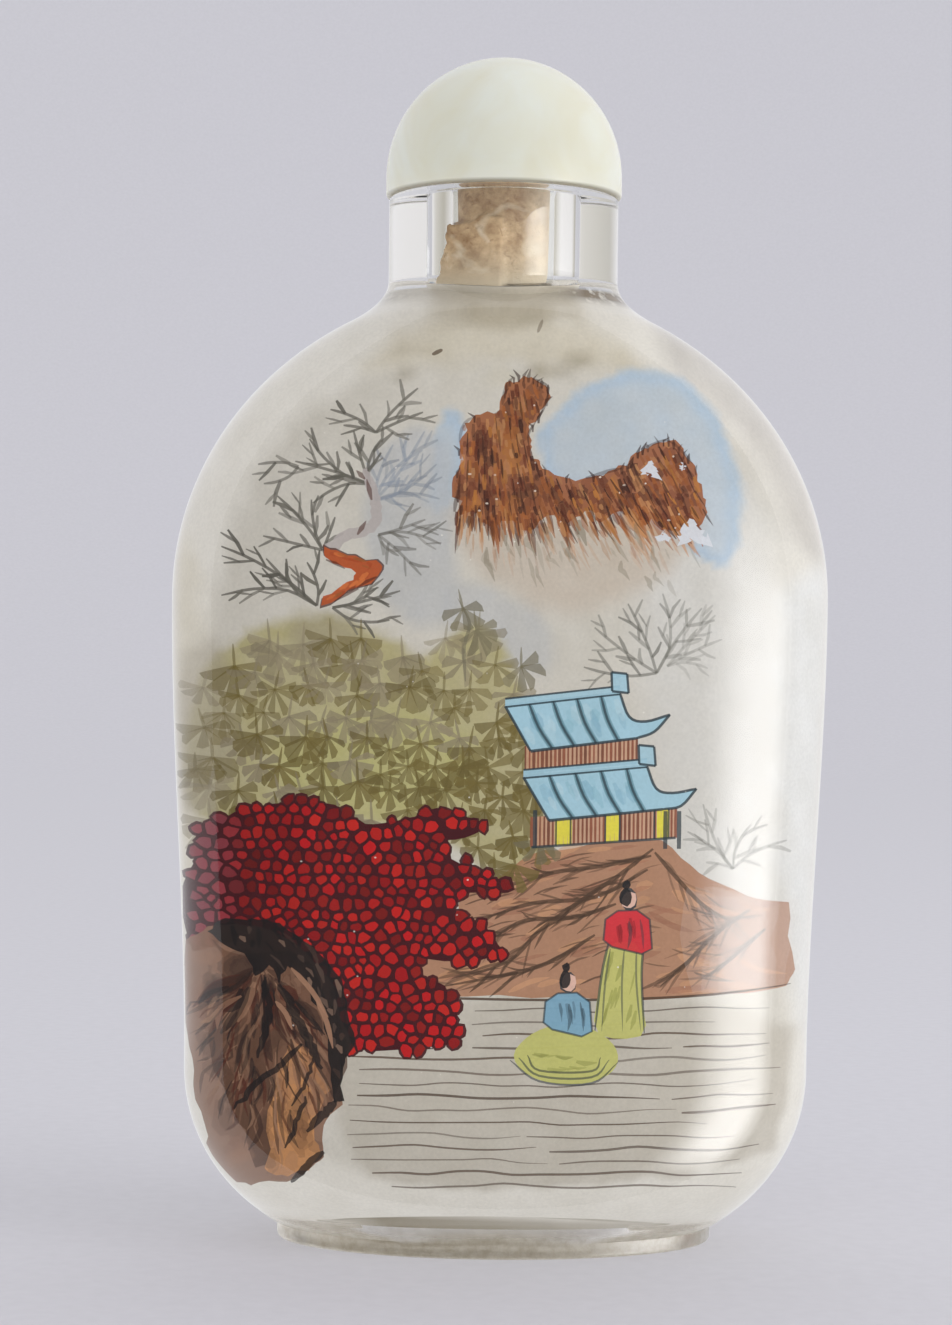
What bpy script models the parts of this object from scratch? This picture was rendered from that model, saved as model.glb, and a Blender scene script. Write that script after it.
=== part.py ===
"""A flattened glass snuff bottle with a domed stone stopper on a cork plug.

The bottle stands on its oval foot. The origin is under the middle of the foot, +Z is up, and the broad
front faces -Y. Lengths are in metres.
"""

import math

import bmesh
import bpy

# The stopper and the neck set the height
TOTAL_HEIGHT = 0.0720
DOME_RADIUS = 0.0072
DOME_RISE = 0.0073
DOME_SKIRT = 0.0010
DOME_EDGE = 0.00025
STOPPER_GAP = 0.0003
NECK_RADIUS = 0.0070
LIP_ROUNDING = 0.00035
BORE_RADIUS = 0.0031
BORE_ROUNDING = 0.00025

# The body, as half sizes, with shoulders that are a quarter of an ellipse
BODY_HALF_WIDTH = 0.0199
BODY_HALF_DEPTH = 0.0110
BASE_HALF_WIDTH = 0.01888
BASE_HALF_DEPTH = 0.01085
SHOULDER_HEIGHT = 0.0390
SHOULDER_RISE = 0.01887
SHOULDER_TOP_HALF_WIDTH = 0.0092
SHOULDER_DEPTH_POWER = 1.5
NECK_FILLET = 0.0026
CORNER_HEIGHT = 0.0105
CORNER_DROP = 0.01137
CORNER_REACH = 0.0123
CORNER_DEPTH_REACH = 0.01008

# The foot, with a shallow dish ground into its underside
FOOT_HALF_WIDTH = 0.0132
FOOT_HALF_DEPTH = 0.0073
FOOT_FRONT_HEIGHT = 0.00184
FOOT_END_HEIGHT = 0.00093
FOOT_EDGE = 0.0003
FOOT_RIM = 0.0020
DISH_DEPTH = 0.0007
DISH_COVE = 0.0010

# The hollow inside
SIDE_WALL = 0.0021
FRONT_WALL = 0.0020
FLOOR_HEIGHT = 0.0034
HOLLOW_CORNER_REACH = 0.0070
HOLLOW_CORNER_DEPTH_REACH = 0.0045
HOLLOW_SHOULDER_RISE = 0.0169
HOLLOW_SHOULDER_DEPTH_POWER = 0.8
HOLLOW_THROAT_HALF_WIDTH = 0.0042
THROAT_HEIGHT = 0.0562

# The cork plug
CORK_TOP_RADIUS = 0.00280
CORK_FOOT_RADIUS = 0.00268
CORK_BEVEL = 0.0002
CORK_FOOT_HEIGHT = 0.0569

# Level outlines: 2 is an ellipse, and more fills its corners
ROUND = 2.0
BODY_SQUARENESS = 2.8
HOLLOW_SQUARENESS = 3.0

# How finely the round surfaces are cut
RING_POINTS = 56
DOME_POINTS = 44
CORK_POINTS = 32
CORNER_STEPS = 7
SIDE_STEPS = 3
SHOULDER_STEPS = 9
FILLET_STEPS = 4
DOME_STEPS = 11
EDGE_STEPS = 3
SHARP_ANGLE = math.radians(35)
WELD_DISTANCE = 1e-6

DOME_EQUATOR = TOTAL_HEIGHT - DOME_RISE
DOME_UNDERSIDE = DOME_EQUATOR - DOME_SKIRT
LIP_HEIGHT = DOME_UNDERSIDE - STOPPER_GAP
CORK_TOP_HEIGHT = DOME_UNDERSIDE - STOPPER_GAP


def clear_scene():
    """Removes whatever the scene holds."""
    for old in list(bpy.data.objects):
        bpy.data.objects.remove(old, do_unlink=True)


def material(name, colour, roughness, transmission=0.0):
    """A plain finish for one kind of surface."""
    made = bpy.data.materials.new(name)
    made.use_nodes = True
    shader = made.node_tree.nodes["Principled BSDF"]
    shader.inputs["Base Color"].default_value = (*colour, 1.0)
    shader.inputs["Roughness"].default_value = roughness
    shader.inputs["Transmission Weight"].default_value = transmission
    return made


def named_object(name, build, finish):
    """Turns what was built into an object with smooth round faces and crisp edges."""
    bmesh.ops.recalc_face_normals(build, faces=build.faces)
    mesh = bpy.data.meshes.new(name)
    build.to_mesh(mesh)
    build.free()
    mesh.shade_smooth()
    mesh.set_sharp_from_angle(angle=SHARP_ANGLE)
    mesh.materials.append(finish)
    bpy.context.scene.collection.objects.link(bpy.data.objects.new(name, mesh))


def blend(start, end, share):
    """The value a share of the way from start to end."""
    return start + (end - start) * share


def ease(share):
    """A share from 0 to 1 that starts and stops gently."""
    return share * share * (3 - 2 * share)


def shares(steps, first=0):
    """Even shares of the way, ending at 1."""
    return [step / steps for step in range(first, steps + 1)]


def quarter_turns(steps):
    """Even angles over a quarter turn, with both its ends."""
    return [share * math.pi / 2 for share in shares(steps)]


def level_point(angle, section):
    """The point at an angle round a level outline."""
    height, half_width, half_depth, squareness = section
    across, along = math.cos(angle), math.sin(angle)
    reach = 2 / squareness
    x = math.copysign(abs(across) ** reach, across) * half_width
    y = math.copysign(abs(along) ** reach, along) * half_depth
    return (x, y, height)


def level_ring(build, section):
    """The edges of a level outline, given as (height, half width, half depth, squareness)."""
    corners = []
    for point in range(RING_POINTS):
        corners.append(build.verts.new(level_point(2 * math.pi * point / RING_POINTS, section)))
    return [build.edges.new(pair) for pair in zip(corners, corners[1:] + corners[:1])]


def loft(name, sections, finish):
    """A closed solid through level outlines, bridged one to the next and filled at both ends."""
    build = bmesh.new()
    rings = [level_ring(build, section) for section in sections]
    for lower, upper in zip(rings, rings[1:]):
        bmesh.ops.bridge_loops(build, edges=lower + upper)
    for end in (rings[0], rings[-1]):
        bmesh.ops.contextual_create(build, geom=end)
    named_object(name, build, finish)


def turned(name, profile, points, finish):
    """A solid of revolution from a profile of (radius, height), from its underside to its top."""
    build = bmesh.new()
    corners = [build.verts.new((radius, 0, height)) for radius, height in profile]
    edges = [build.edges.new(pair) for pair in zip(corners, corners[1:])]
    bmesh.ops.spin(build, geom=corners + edges, axis=(0, 0, 1), cent=(0, 0, 0), angle=2 * math.pi,
                   steps=points, use_merge=True)
    bmesh.ops.remove_doubles(build, verts=build.verts, dist=WELD_DISTANCE)
    named_object(name, build, finish)


def foot_sections():
    """The dish in the underside, the flat rim round it and the foot's edge, from the middle out."""
    floor_half_width = FOOT_HALF_WIDTH - FOOT_RIM - DISH_COVE
    floor_half_depth = FOOT_HALF_DEPTH - FOOT_RIM - DISH_COVE
    made = []
    for turn in quarter_turns(EDGE_STEPS):
        reach = DISH_COVE * math.sin(turn)
        height = DISH_DEPTH * math.cos(turn)
        made.append((height, floor_half_width + reach, floor_half_depth + reach, ROUND))
    for turn in quarter_turns(EDGE_STEPS):
        inset = FOOT_EDGE * (1 - math.sin(turn))
        height = FOOT_EDGE * (1 - math.cos(turn))
        made.append((height, FOOT_HALF_WIDTH - inset, FOOT_HALF_DEPTH - inset, ROUND))
    return made


def corner_section(height):
    """The outside of the body at a height between the foot and the sides."""
    fall = (CORNER_HEIGHT - height) / CORNER_DROP
    inset = 1 - math.sqrt(1 - fall * fall)
    half_width = max(FOOT_HALF_WIDTH, BASE_HALF_WIDTH - CORNER_REACH * inset)
    half_depth = max(FOOT_HALF_DEPTH, BASE_HALF_DEPTH - CORNER_DEPTH_REACH * inset)
    rise = (height - FOOT_END_HEIGHT) / (CORNER_HEIGHT - FOOT_END_HEIGHT)
    return (height, half_width, half_depth, blend(ROUND, BODY_SQUARENESS, math.sqrt(rise)))


def corner_sections():
    """The lower corners of the body, from the top of the foot to where the sides begin."""
    made = [corner_section(FOOT_END_HEIGHT), corner_section(FOOT_FRONT_HEIGHT)]
    start = math.asin((CORNER_HEIGHT - FOOT_FRONT_HEIGHT) / CORNER_DROP)
    for share in shares(CORNER_STEPS, first=1):
        made.append(corner_section(CORNER_HEIGHT - CORNER_DROP * math.sin(start * (1 - share))))
    return made


def side_section(share):
    """The outside of the body a share of the way up its sides, which widen a little."""
    return (
        blend(CORNER_HEIGHT, SHOULDER_HEIGHT, share),
        blend(BASE_HALF_WIDTH, BODY_HALF_WIDTH, ease(share)),
        blend(BASE_HALF_DEPTH, BODY_HALF_DEPTH, ease(share)),
        BODY_SQUARENESS,
    )


def shoulder_turns(top_half_width, reach):
    """Angles up a shoulder, from its widest level to where it has come in to a half width."""
    top = math.acos(top_half_width / reach)
    return [share * top for share in shares(SHOULDER_STEPS, first=1)]


def shoulder_sections():
    """The outside of the shoulders, which come in to the foot of the neck."""
    made = []
    for turn in shoulder_turns(SHOULDER_TOP_HALF_WIDTH, BODY_HALF_WIDTH):
        height = SHOULDER_HEIGHT + SHOULDER_RISE * math.sin(turn)
        half_depth = blend(NECK_RADIUS, BODY_HALF_DEPTH, math.cos(turn) ** SHOULDER_DEPTH_POWER)
        squareness = blend(ROUND, BODY_SQUARENESS, math.cos(turn))
        made.append((height, BODY_HALF_WIDTH * math.cos(turn), half_depth, squareness))
    return made


def neck_sections(shoulder):
    """The fillet above the shoulder, the neck, its rounded lip and the bore down to the hollow."""
    height, half_width, half_depth, squareness = shoulder
    made = []
    for share in shares(FILLET_STEPS, first=1):
        gather = (1 - share) ** 2
        made.append((
            height + NECK_FILLET * share,
            blend(NECK_RADIUS, half_width, gather),
            blend(NECK_RADIUS, half_depth, gather),
            blend(ROUND, squareness, gather),
        ))
    for turn in quarter_turns(EDGE_STEPS):
        radius = NECK_RADIUS - LIP_ROUNDING * (1 - math.cos(turn))
        made.append((LIP_HEIGHT - LIP_ROUNDING * (1 - math.sin(turn)), radius, radius, ROUND))
    for turn in quarter_turns(EDGE_STEPS):
        radius = BORE_RADIUS + BORE_ROUNDING * (1 - math.sin(turn))
        made.append((LIP_HEIGHT - BORE_ROUNDING * (1 - math.cos(turn)), radius, radius, ROUND))
    made.append((THROAT_HEIGHT, BORE_RADIUS, BORE_RADIUS, ROUND))
    return made


def hollow_shoulder_sections():
    """The hollow's shoulders, from the throat down to its widest level."""
    reach = BODY_HALF_WIDTH - SIDE_WALL
    deepest = BODY_HALF_DEPTH - FRONT_WALL
    made = []
    for turn in reversed(shoulder_turns(HOLLOW_THROAT_HALF_WIDTH, reach)):
        height = SHOULDER_HEIGHT + HOLLOW_SHOULDER_RISE * math.sin(turn)
        half_depth = blend(BORE_RADIUS, deepest, math.cos(turn) ** HOLLOW_SHOULDER_DEPTH_POWER)
        squareness = blend(ROUND, HOLLOW_SQUARENESS, math.cos(turn))
        made.append((height, reach * math.cos(turn), half_depth, squareness))
    return made


def hollow_side_sections():
    """The hollow's sides, from its widest level down to its corners."""
    made = []
    for share in reversed(shares(SIDE_STEPS)):
        height, half_width, half_depth, _ = side_section(share)
        made.append((height, half_width - SIDE_WALL, half_depth - FRONT_WALL, HOLLOW_SQUARENESS))
    return made


def hollow_corner_sections():
    """The hollow's lower corners and the edge of its floor."""
    made = []
    for share in shares(CORNER_STEPS, first=1):
        turn = share * math.pi / 2
        inset = 1 - math.cos(turn)
        made.append((
            blend(CORNER_HEIGHT, FLOOR_HEIGHT, math.sin(turn)),
            BASE_HALF_WIDTH - SIDE_WALL - HOLLOW_CORNER_REACH * inset,
            BASE_HALF_DEPTH - FRONT_WALL - HOLLOW_CORNER_DEPTH_REACH * inset,
            blend(HOLLOW_SQUARENESS, ROUND, share),
        ))
    return made


def bottle():
    """The hollow glass bottle, one solid from the dish under its foot to the floor of its hollow."""
    glass = material("clear_glass", (0.90, 0.91, 0.86), 0.02, transmission=1.0)
    shoulders = shoulder_sections()
    sections = foot_sections() + corner_sections()
    sections += [side_section(share) for share in shares(SIDE_STEPS, first=1)]
    sections += shoulders + neck_sections(shoulders[-1])
    sections += hollow_shoulder_sections() + hollow_side_sections() + hollow_corner_sections()
    loft("bottle", sections, glass)


def skirt_radius(fall):
    """The radius of the dome's outline at a distance below its widest level."""
    return DOME_RADIUS * math.sqrt(1 - (fall / DOME_RISE) ** 2)


def stopper():
    """The polished dome, which rests on the lip by its flat underside."""
    stone = material("pale_green_stone", (0.80, 0.82, 0.72), 0.15)
    profile = [(0, DOME_UNDERSIDE)]
    for turn in quarter_turns(EDGE_STEPS):
        fall = DOME_SKIRT - DOME_EDGE * (1 - math.cos(turn))
        profile.append((skirt_radius(fall) - DOME_EDGE * (1 - math.sin(turn)), DOME_EQUATOR - fall))
    for turn in quarter_turns(DOME_STEPS):
        profile.append((DOME_RADIUS * math.cos(turn), DOME_EQUATOR + DOME_RISE * math.sin(turn)))
    turned("stopper", profile, DOME_POINTS, stone)


def cork():
    """The tapered plug that hangs under the dome and fills the bore."""
    bark = material("cork", (0.56, 0.40, 0.24), 0.85)
    profile = [
        (0, CORK_FOOT_HEIGHT),
        (CORK_FOOT_RADIUS - CORK_BEVEL, CORK_FOOT_HEIGHT),
        (CORK_FOOT_RADIUS, CORK_FOOT_HEIGHT + CORK_BEVEL),
        (CORK_TOP_RADIUS, CORK_TOP_HEIGHT),
        (0, CORK_TOP_HEIGHT),
    ]
    turned("cork", profile, CORK_POINTS, bark)


def main():
    clear_scene()
    bottle()
    stopper()
    cork()


main()
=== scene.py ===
"""The looks of a glass snuff bottle with a landscape painted inside it, its cork and its polished stopper.

The bottle stands on its foot with its painted front to -Y. Its height, width and depth come from the frame, and
its other sizes repeat the CAD's. The picture is composed flat, in millimetres, on two sheets that cover the front
and the back of the hollow: x runs to the right as each is seen from outside, and z is the height above the
ground. The marks are mesh faces with their own colours, so nothing is raised.
"""

import math
import random

import bmesh
import bpy
import numpy as np
from bpy.props import FloatProperty, FloatVectorProperty, IntProperty, PointerProperty
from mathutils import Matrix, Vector
from mathutils.geometry import delaunay_2d_cdt


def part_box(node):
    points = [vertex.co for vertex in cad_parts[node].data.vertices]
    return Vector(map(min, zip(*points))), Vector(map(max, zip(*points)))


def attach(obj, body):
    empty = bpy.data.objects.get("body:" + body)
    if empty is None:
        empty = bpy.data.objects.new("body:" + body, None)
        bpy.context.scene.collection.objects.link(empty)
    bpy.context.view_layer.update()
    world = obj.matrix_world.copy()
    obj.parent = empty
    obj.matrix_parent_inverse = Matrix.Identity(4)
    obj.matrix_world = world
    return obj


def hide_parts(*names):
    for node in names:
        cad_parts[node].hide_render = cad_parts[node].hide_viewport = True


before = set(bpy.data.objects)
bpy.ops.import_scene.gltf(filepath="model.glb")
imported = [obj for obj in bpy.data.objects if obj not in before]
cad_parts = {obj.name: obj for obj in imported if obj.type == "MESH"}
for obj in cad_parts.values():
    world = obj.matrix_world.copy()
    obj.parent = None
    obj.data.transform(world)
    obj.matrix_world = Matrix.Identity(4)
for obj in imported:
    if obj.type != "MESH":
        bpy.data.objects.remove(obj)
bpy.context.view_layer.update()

bl_info = {
    "name": "Snuff bottle",
    "version": (1, 0, 0),
    "blender": (4, 5, 0),
    "location": "View3D > Sidebar > Snuff bottle",
    "description": "Models and finishes a glass snuff bottle with a landscape painted inside",
    "category": "Object",
}

BOTTLE_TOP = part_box("bottle")[1]
STOPPER_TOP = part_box("stopper")[1]
CORK_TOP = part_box("cork")[1]
MM = 0.001
ROUND = 2.0
OUTLINE_SAMPLES = 2880
WELD = 1e-7
SMOOTH_ANGLE = math.radians(30)

# Where the finishes change, and the painted shade and painted light, as reaches of height and of width in metres
WORN_AND_SHADED_FOOT = (0.0011, 0.0024)
CREASE, CREASE_WIDTH = (0.0561, 0.0578), (-0.0075, 0.0075)
CORK_DUST, CORK_PAINTED_SHADE, CORK_PAINTED_LIGHT = (0.0573, 0.0602), (-0.0024, 0.0006), (0.0006, 0.0026)
STOPPER_DARK_BAND = (0.06348, 0.06366)


def size(name, description, default):
    """A length that a user may change."""
    return FloatProperty(name=name, description=description, default=default, unit="LENGTH", precision=5)


def number(name, description, default):
    """A plain number that a user may change."""
    return FloatProperty(name=name, description=description, default=default)


def rgb(red, green, blue):
    """A scene colour from the 0 to 255 values seen on a screen."""
    made = []
    for value in (red, green, blue):
        share = value / 255
        made.append(share / 12.92 if share <= 0.04045 else ((share + 0.055) / 1.055) ** 2.4)
    return tuple(made)


def tint(name, description, red, green, blue):
    """A colour that a user may change."""
    return FloatVectorProperty(
        name=name, description=description, default=rgb(red, green, blue), subtype="COLOR", size=3, min=0, max=1
    )


class BottleSizes(bpy.types.PropertyGroup):
    """The bottle's driving dimensions. Its half width, half depth and height come from the frame."""

    neck_radius: size("Neck radius", "Outside of the neck", 0.0070)
    lip_rounding: size("Lip rounding", "Radius of the lip's outer edge", 0.00014)
    bore_radius: size("Bore radius", "Inside of the neck", 0.0031)
    bore_rounding: size("Bore rounding", "Radius of the lip's inner edge", 0.00012)
    base_half_width: size("Base half width", "Half the width above the lower corners", 0.01888)
    base_half_depth: size("Base half depth", "Half the depth above the lower corners", 0.01085)
    shoulder_height: size("Shoulder height", "Where the shoulders begin", 0.0390)
    shoulder_rise: size("Shoulder rise", "Height of the shoulders' ellipse", 0.01887)
    shoulder_top: size("Shoulder top", "Half width where the shoulder meets the neck", 0.0092)
    neck_fillet: size("Neck fillet", "Height of the hollow curve under the neck", 0.0026)
    corner_height: size("Corner height", "Where the lower corners end", 0.0105)
    corner_drop: size("Corner drop", "Height of the lower corners' ellipse", 0.01137)
    corner_reach: size("Corner reach", "Width of the lower corners' ellipse", 0.0123)
    corner_depth_reach: size("Corner depth reach", "Depth of the lower corners' ellipse", 0.01008)
    foot_half_width: size("Foot half width", "Half the width of the oval foot", 0.0132)
    foot_half_depth: size("Foot half depth", "Half the depth of the oval foot", 0.0073)
    foot_end_height: size("Foot end height", "Where the body leaves the foot at its ends", 0.00093)
    foot_front_height: size("Foot front height", "Where the body leaves the foot in front", 0.00184)
    foot_edge: size("Foot edge", "Rounding of the foot's lower edge", 0.0003)
    foot_rim: size("Foot rim", "Width of the rim that the bottle stands on", 0.0020)
    dish_depth: size("Dish depth", "Depth of the dish ground into the foot", 0.0007)
    dish_cove: size("Dish cove", "Width of the dish's curved side", 0.0010)
    side_wall: size("Side wall", "Thickness of the glass at the sides", 0.0021)
    front_wall: size("Front wall", "Thickness of the glass in front and behind", 0.0020)
    floor_height: size("Floor height", "Height of the floor of the hollow", 0.0034)
    hollow_corner_reach: size("Hollow corner reach", "Width of the hollow's lower corners", 0.0070)
    hollow_corner_depth_reach: size("Hollow corner depth", "Depth of the hollow's lower corners", 0.0045)
    hollow_shoulder_rise: size("Hollow shoulder rise", "Height of the hollow's shoulders", 0.0169)
    hollow_throat: size("Throat half width", "Half width at the top of the hollow's shoulders", 0.0042)
    throat_height: size("Throat height", "Where the bore begins", 0.0562)
    paint_depth: size("Paint depth", "How far the painted skin lies inside the glass", 0.00008)
    cork_foot: size("Cork foot", "Height of the cork's lower end", 0.0570)
    cork_foot_radius: size("Cork foot radius", "Radius of the cork's lower end", 0.00268)
    stopper_gap: size("Stopper gap", "Joint between the lip and the stopper", 0.00005)
    dome_foot: size("Dome foot", "Height where the stopper's dome begins", 0.0647)
    stopper_edge: size("Stopper edge", "Rounding of the stopper's lower edge", 0.00025)
    body_squareness: number("Body squareness", "How square the outside is from above: 2 is an ellipse", 2.8)
    hollow_squareness: number("Hollow squareness", "How square the inside is from above: 2 is an ellipse", 3.0)
    ring_points: IntProperty(name="Ring points", description="Points round each ring of the glass", default=192)


class PaintColours(bpy.types.PropertyGroup):
    """The colours of the ground inside and of the picture."""

    ground: tint("Ground", "Frosted glass with no paint on it", 238, 233, 223)
    plain: tint("Plain", "Thin wash under the picture", 214, 208, 196)
    beige: tint("Beige", "Frosting below the neck", 211, 200, 175)
    sky: tint("Sky", "Wash behind the crags", 185, 202, 217)
    mist: tint("Mist", "Cool wash between the trees and the crags", 194, 195, 196)
    crag: tint("Crag", "Body colour of the crags", 164, 94, 46)
    crag_dark: tint("Crag shade", "Dark streaks on the crags", 88, 40, 24)
    crag_light: tint("Crag light", "Light streaks on the crags", 198, 140, 90)
    needle: tint("Needles", "Needles and twigs of the pine", 106, 102, 92)
    trunk: tint("Trunk", "Trunk of the pine", 194, 92, 46)
    olive: tint("Olive", "Wash under the green trees", 188, 178, 131)
    olive_dark: tint("Dark olive", "Leaves of the green trees", 116, 101, 50)
    red: tint("Red", "Leaves of the red tree", 208, 23, 23)
    red_dark: tint("Dark red", "Gaps between the red leaves", 74, 10, 20)
    rock: tint("Rock", "Wash of the rock", 96, 63, 44)
    rock_dark: tint("Rock shade", "Dark strokes of the rock", 66, 42, 32)
    rock_warm: tint("Rock light", "Warm patch on the rock", 214, 152, 98)
    bank: tint("Bank", "Wash of the river bank", 181, 127, 92)
    ink: tint("Ink", "Lines of the bank and the water", 84, 62, 46)
    roof: tint("Roof", "Tiles of the pavilion", 172, 212, 228)
    outline: tint("Outline", "Lines of the pavilion and the figures", 46, 62, 70)
    slat: tint("Slats", "Walls of the pavilion", 136, 76, 54)
    yellow: tint("Yellow", "Screens of the pavilion", 240, 228, 70)
    robe: tint("Robe", "Skirts of the figures", 204, 202, 118)
    jacket: tint("Jacket", "Jacket of the standing figure", 222, 50, 62)
    blouse: tint("Blouse", "Jacket of the seated figure", 132, 176, 200)
    water: tint("Water", "Wash of the water", 200, 192, 178)


class FinishColours(bpy.types.PropertyGroup):
    """The colours of the other pieces and of the studio."""

    glass: tint("Glass", "Tint of the glass", 252, 253, 250)
    # The two foot grain colours are partly ground and worn glass and partly painted shade.
    glass_worn_and_shade: tint("Worn foot", "Dark grains of the ground and worn foot", 192, 184, 166)
    glass_ground_and_shade: tint("Ground foot", "Pale grains of the ground and worn foot", 232, 228, 217)
    dark_band: tint("Darkening", "Dirt in the crease under the neck and under the stopper", 88, 72, 52)
    cork: tint("Cork", "Body colour of the cork", 216, 186, 146)
    cork_dark: tint("Cork pores", "Pores and bark in the cork", 142, 104, 66)
    # The pale cork colour also serves as the painted light on the cork's right side.
    cork_pale_and_lit: tint("Cork light", "Pale patches of the cork", 240, 226, 200)
    cork_dust: tint("Cork dust", "Dusty lower end of the cork", 206, 192, 166)
    stone: tint("Stone", "Body colour of the stopper", 215, 213, 195)
    stone_cloud: tint("Stone cloud", "Clouds in the stopper", 220, 223, 215)
    paper: tint("Paper", "Studio floor", 212, 211, 216)


class StageSettings(bpy.types.PropertyGroup):
    """The studio and the camera."""

    floor_radius: size("Floor radius", "Flat part of the studio floor", 0.62)
    bowl_rise: size("Bowl rise", "Radius of the curve from the floor to the wall", 0.40)
    wall_top: size("Wall top", "Height of the studio wall", 1.1)
    camera_distance: size("Camera distance", "From the lens to the bottle's axis", 0.1775)
    camera_side: size("Camera side", "How far the camera stands to the left of the axis", 0.00141)
    camera_height: size("Camera height", "Height of the lens", 0.0351)
    camera_roll: FloatProperty(
        name="Camera roll", description="Lean of the picture", default=math.radians(-0.6), unit="ROTATION"
    )
    lens: number("Lens", "Focal length in millimetres", 78.8)
    window_power: number("Window power", "Watts of the light that shines in the glass", 17.6)
    key_power: number("Key power", "Watts of the light from the right", 0.96)
    room_strength: number("Room strength", "Strength of the soft room light", 1.0)


def sizes():
    """The bottle's sizes."""
    return bpy.context.scene.snuff_sizes


def mix(start, end, share):
    """The value a share of the way from start to end."""
    return start + (end - start) * share


def held(share):
    """A share kept from 0 to 1."""
    return min(1, max(0, share))


def ease(share):
    """A share from 0 to 1 that starts and stops gently."""
    return share * share * (3 - 2 * share)


def soft_step(past, width):
    """0 up to the edge and 1 from the width past it, easing between."""
    return ease(held(past / width))


def quarter(steps):
    """Even angles over a quarter turn, with both its ends."""
    return np.linspace(0, math.pi / 2, steps + 1)


def shares(steps):
    """Even shares that end with 1, without nought."""
    return np.linspace(0, 1, steps + 1)[1:]


def disc(height, radius):
    """A round section."""
    return (height, radius, radius, ROUND)


def level_outline(section, points):
    """Points spaced evenly round a level outline, from +X by way of +Y."""
    height, half_width, half_depth, squareness = section
    turn = np.linspace(0, 2 * math.pi, OUTLINE_SAMPLES + 1)
    across, along = np.cos(turn), np.sin(turn)
    x = np.copysign(np.abs(across) ** (2 / squareness), across) * half_width
    y = np.copysign(np.abs(along) ** (2 / squareness), along) * half_depth
    travelled = np.concatenate([[0], np.cumsum(np.hypot(np.diff(x), np.diff(y)))])
    wanted = np.linspace(0, travelled[-1], points, endpoint=False)
    x, y = np.interp(wanted, travelled, x), np.interp(wanted, travelled, y)
    return np.column_stack([x, y, np.full(points, height)])


def foot_sections(s, steps=4):
    """The dish under the foot, its rim and its edge, from the middle out."""
    made = []
    for turn in quarter(steps):
        inset = s.foot_rim + s.dish_cove * (1 - math.sin(turn))
        height = s.dish_depth * math.cos(turn)
        made.append((height, s.foot_half_width - inset, s.foot_half_depth - inset, ROUND))
    for turn in quarter(steps):
        inset = s.foot_edge * (1 - math.sin(turn))
        height = s.foot_edge * (1 - math.cos(turn))
        made.append((height, s.foot_half_width - inset, s.foot_half_depth - inset, ROUND))
    return made


def corner_section(s, height):
    """The outside of the body at a height between the foot and the sides."""
    fall = (s.corner_height - height) / s.corner_drop
    inset = 1 - math.sqrt(1 - fall * fall)
    half_width = max(s.foot_half_width, s.base_half_width - s.corner_reach * inset)
    half_depth = max(s.foot_half_depth, s.base_half_depth - s.corner_depth_reach * inset)
    rise = max(0, (height - s.foot_end_height) / (s.corner_height - s.foot_end_height))
    return (height, half_width, half_depth, mix(ROUND, s.body_squareness, math.sqrt(rise)))


def corner_sections(s, steps=26):
    """The lower corners of the body, from the foot to where the sides begin."""
    made = [corner_section(s, height) for height in np.linspace(s.foot_end_height, s.foot_front_height, 5)]
    start = math.asin((s.corner_height - s.foot_front_height) / s.corner_drop)
    for share in shares(steps):
        made.append(corner_section(s, s.corner_height - s.corner_drop * math.sin(start * (1 - share))))
    return made


def side_section(s, share):
    """The outside of the body a share of the way up its sides, which widen a little."""
    return (
        mix(s.corner_height, s.shoulder_height, share),
        mix(s.base_half_width, BOTTLE_TOP.x, ease(share)),
        mix(s.base_half_depth, BOTTLE_TOP.y, ease(share)),
        s.body_squareness,
    )


def shoulder_sections(s, steps=34):
    """The outside of the shoulders, which come in to the foot of the neck."""
    made = []
    top = math.acos(s.shoulder_top / BOTTLE_TOP.x)
    for share in shares(steps):
        cosine = math.cos(share * top)
        made.append((
            s.shoulder_height + s.shoulder_rise * math.sin(share * top),
            BOTTLE_TOP.x * cosine,
            mix(s.neck_radius, BOTTLE_TOP.y, cosine ** 1.5),
            mix(ROUND, s.body_squareness, cosine),
        ))
    return made


def neck_sections(s, shoulder):
    """The hollow curve under the neck, the neck, its lip and the edge of the bore."""
    height, half_width, half_depth, squareness = shoulder
    made = []
    for share in shares(12):
        gather = (1 - share) ** 2
        made.append((
            height + s.neck_fillet * share,
            mix(s.neck_radius, half_width, gather),
            mix(s.neck_radius, half_depth, gather),
            mix(ROUND, squareness, gather),
        ))
    for turn in quarter(5):
        radius = s.neck_radius - s.lip_rounding * (1 - math.cos(turn))
        made.append(disc(BOTTLE_TOP.z - s.lip_rounding * (1 - math.sin(turn)), radius))
    for turn in quarter(4):
        radius = s.bore_radius + s.bore_rounding * (1 - math.sin(turn))
        made.append(disc(BOTTLE_TOP.z - s.bore_rounding * (1 - math.cos(turn)), radius))
    return made


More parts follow.
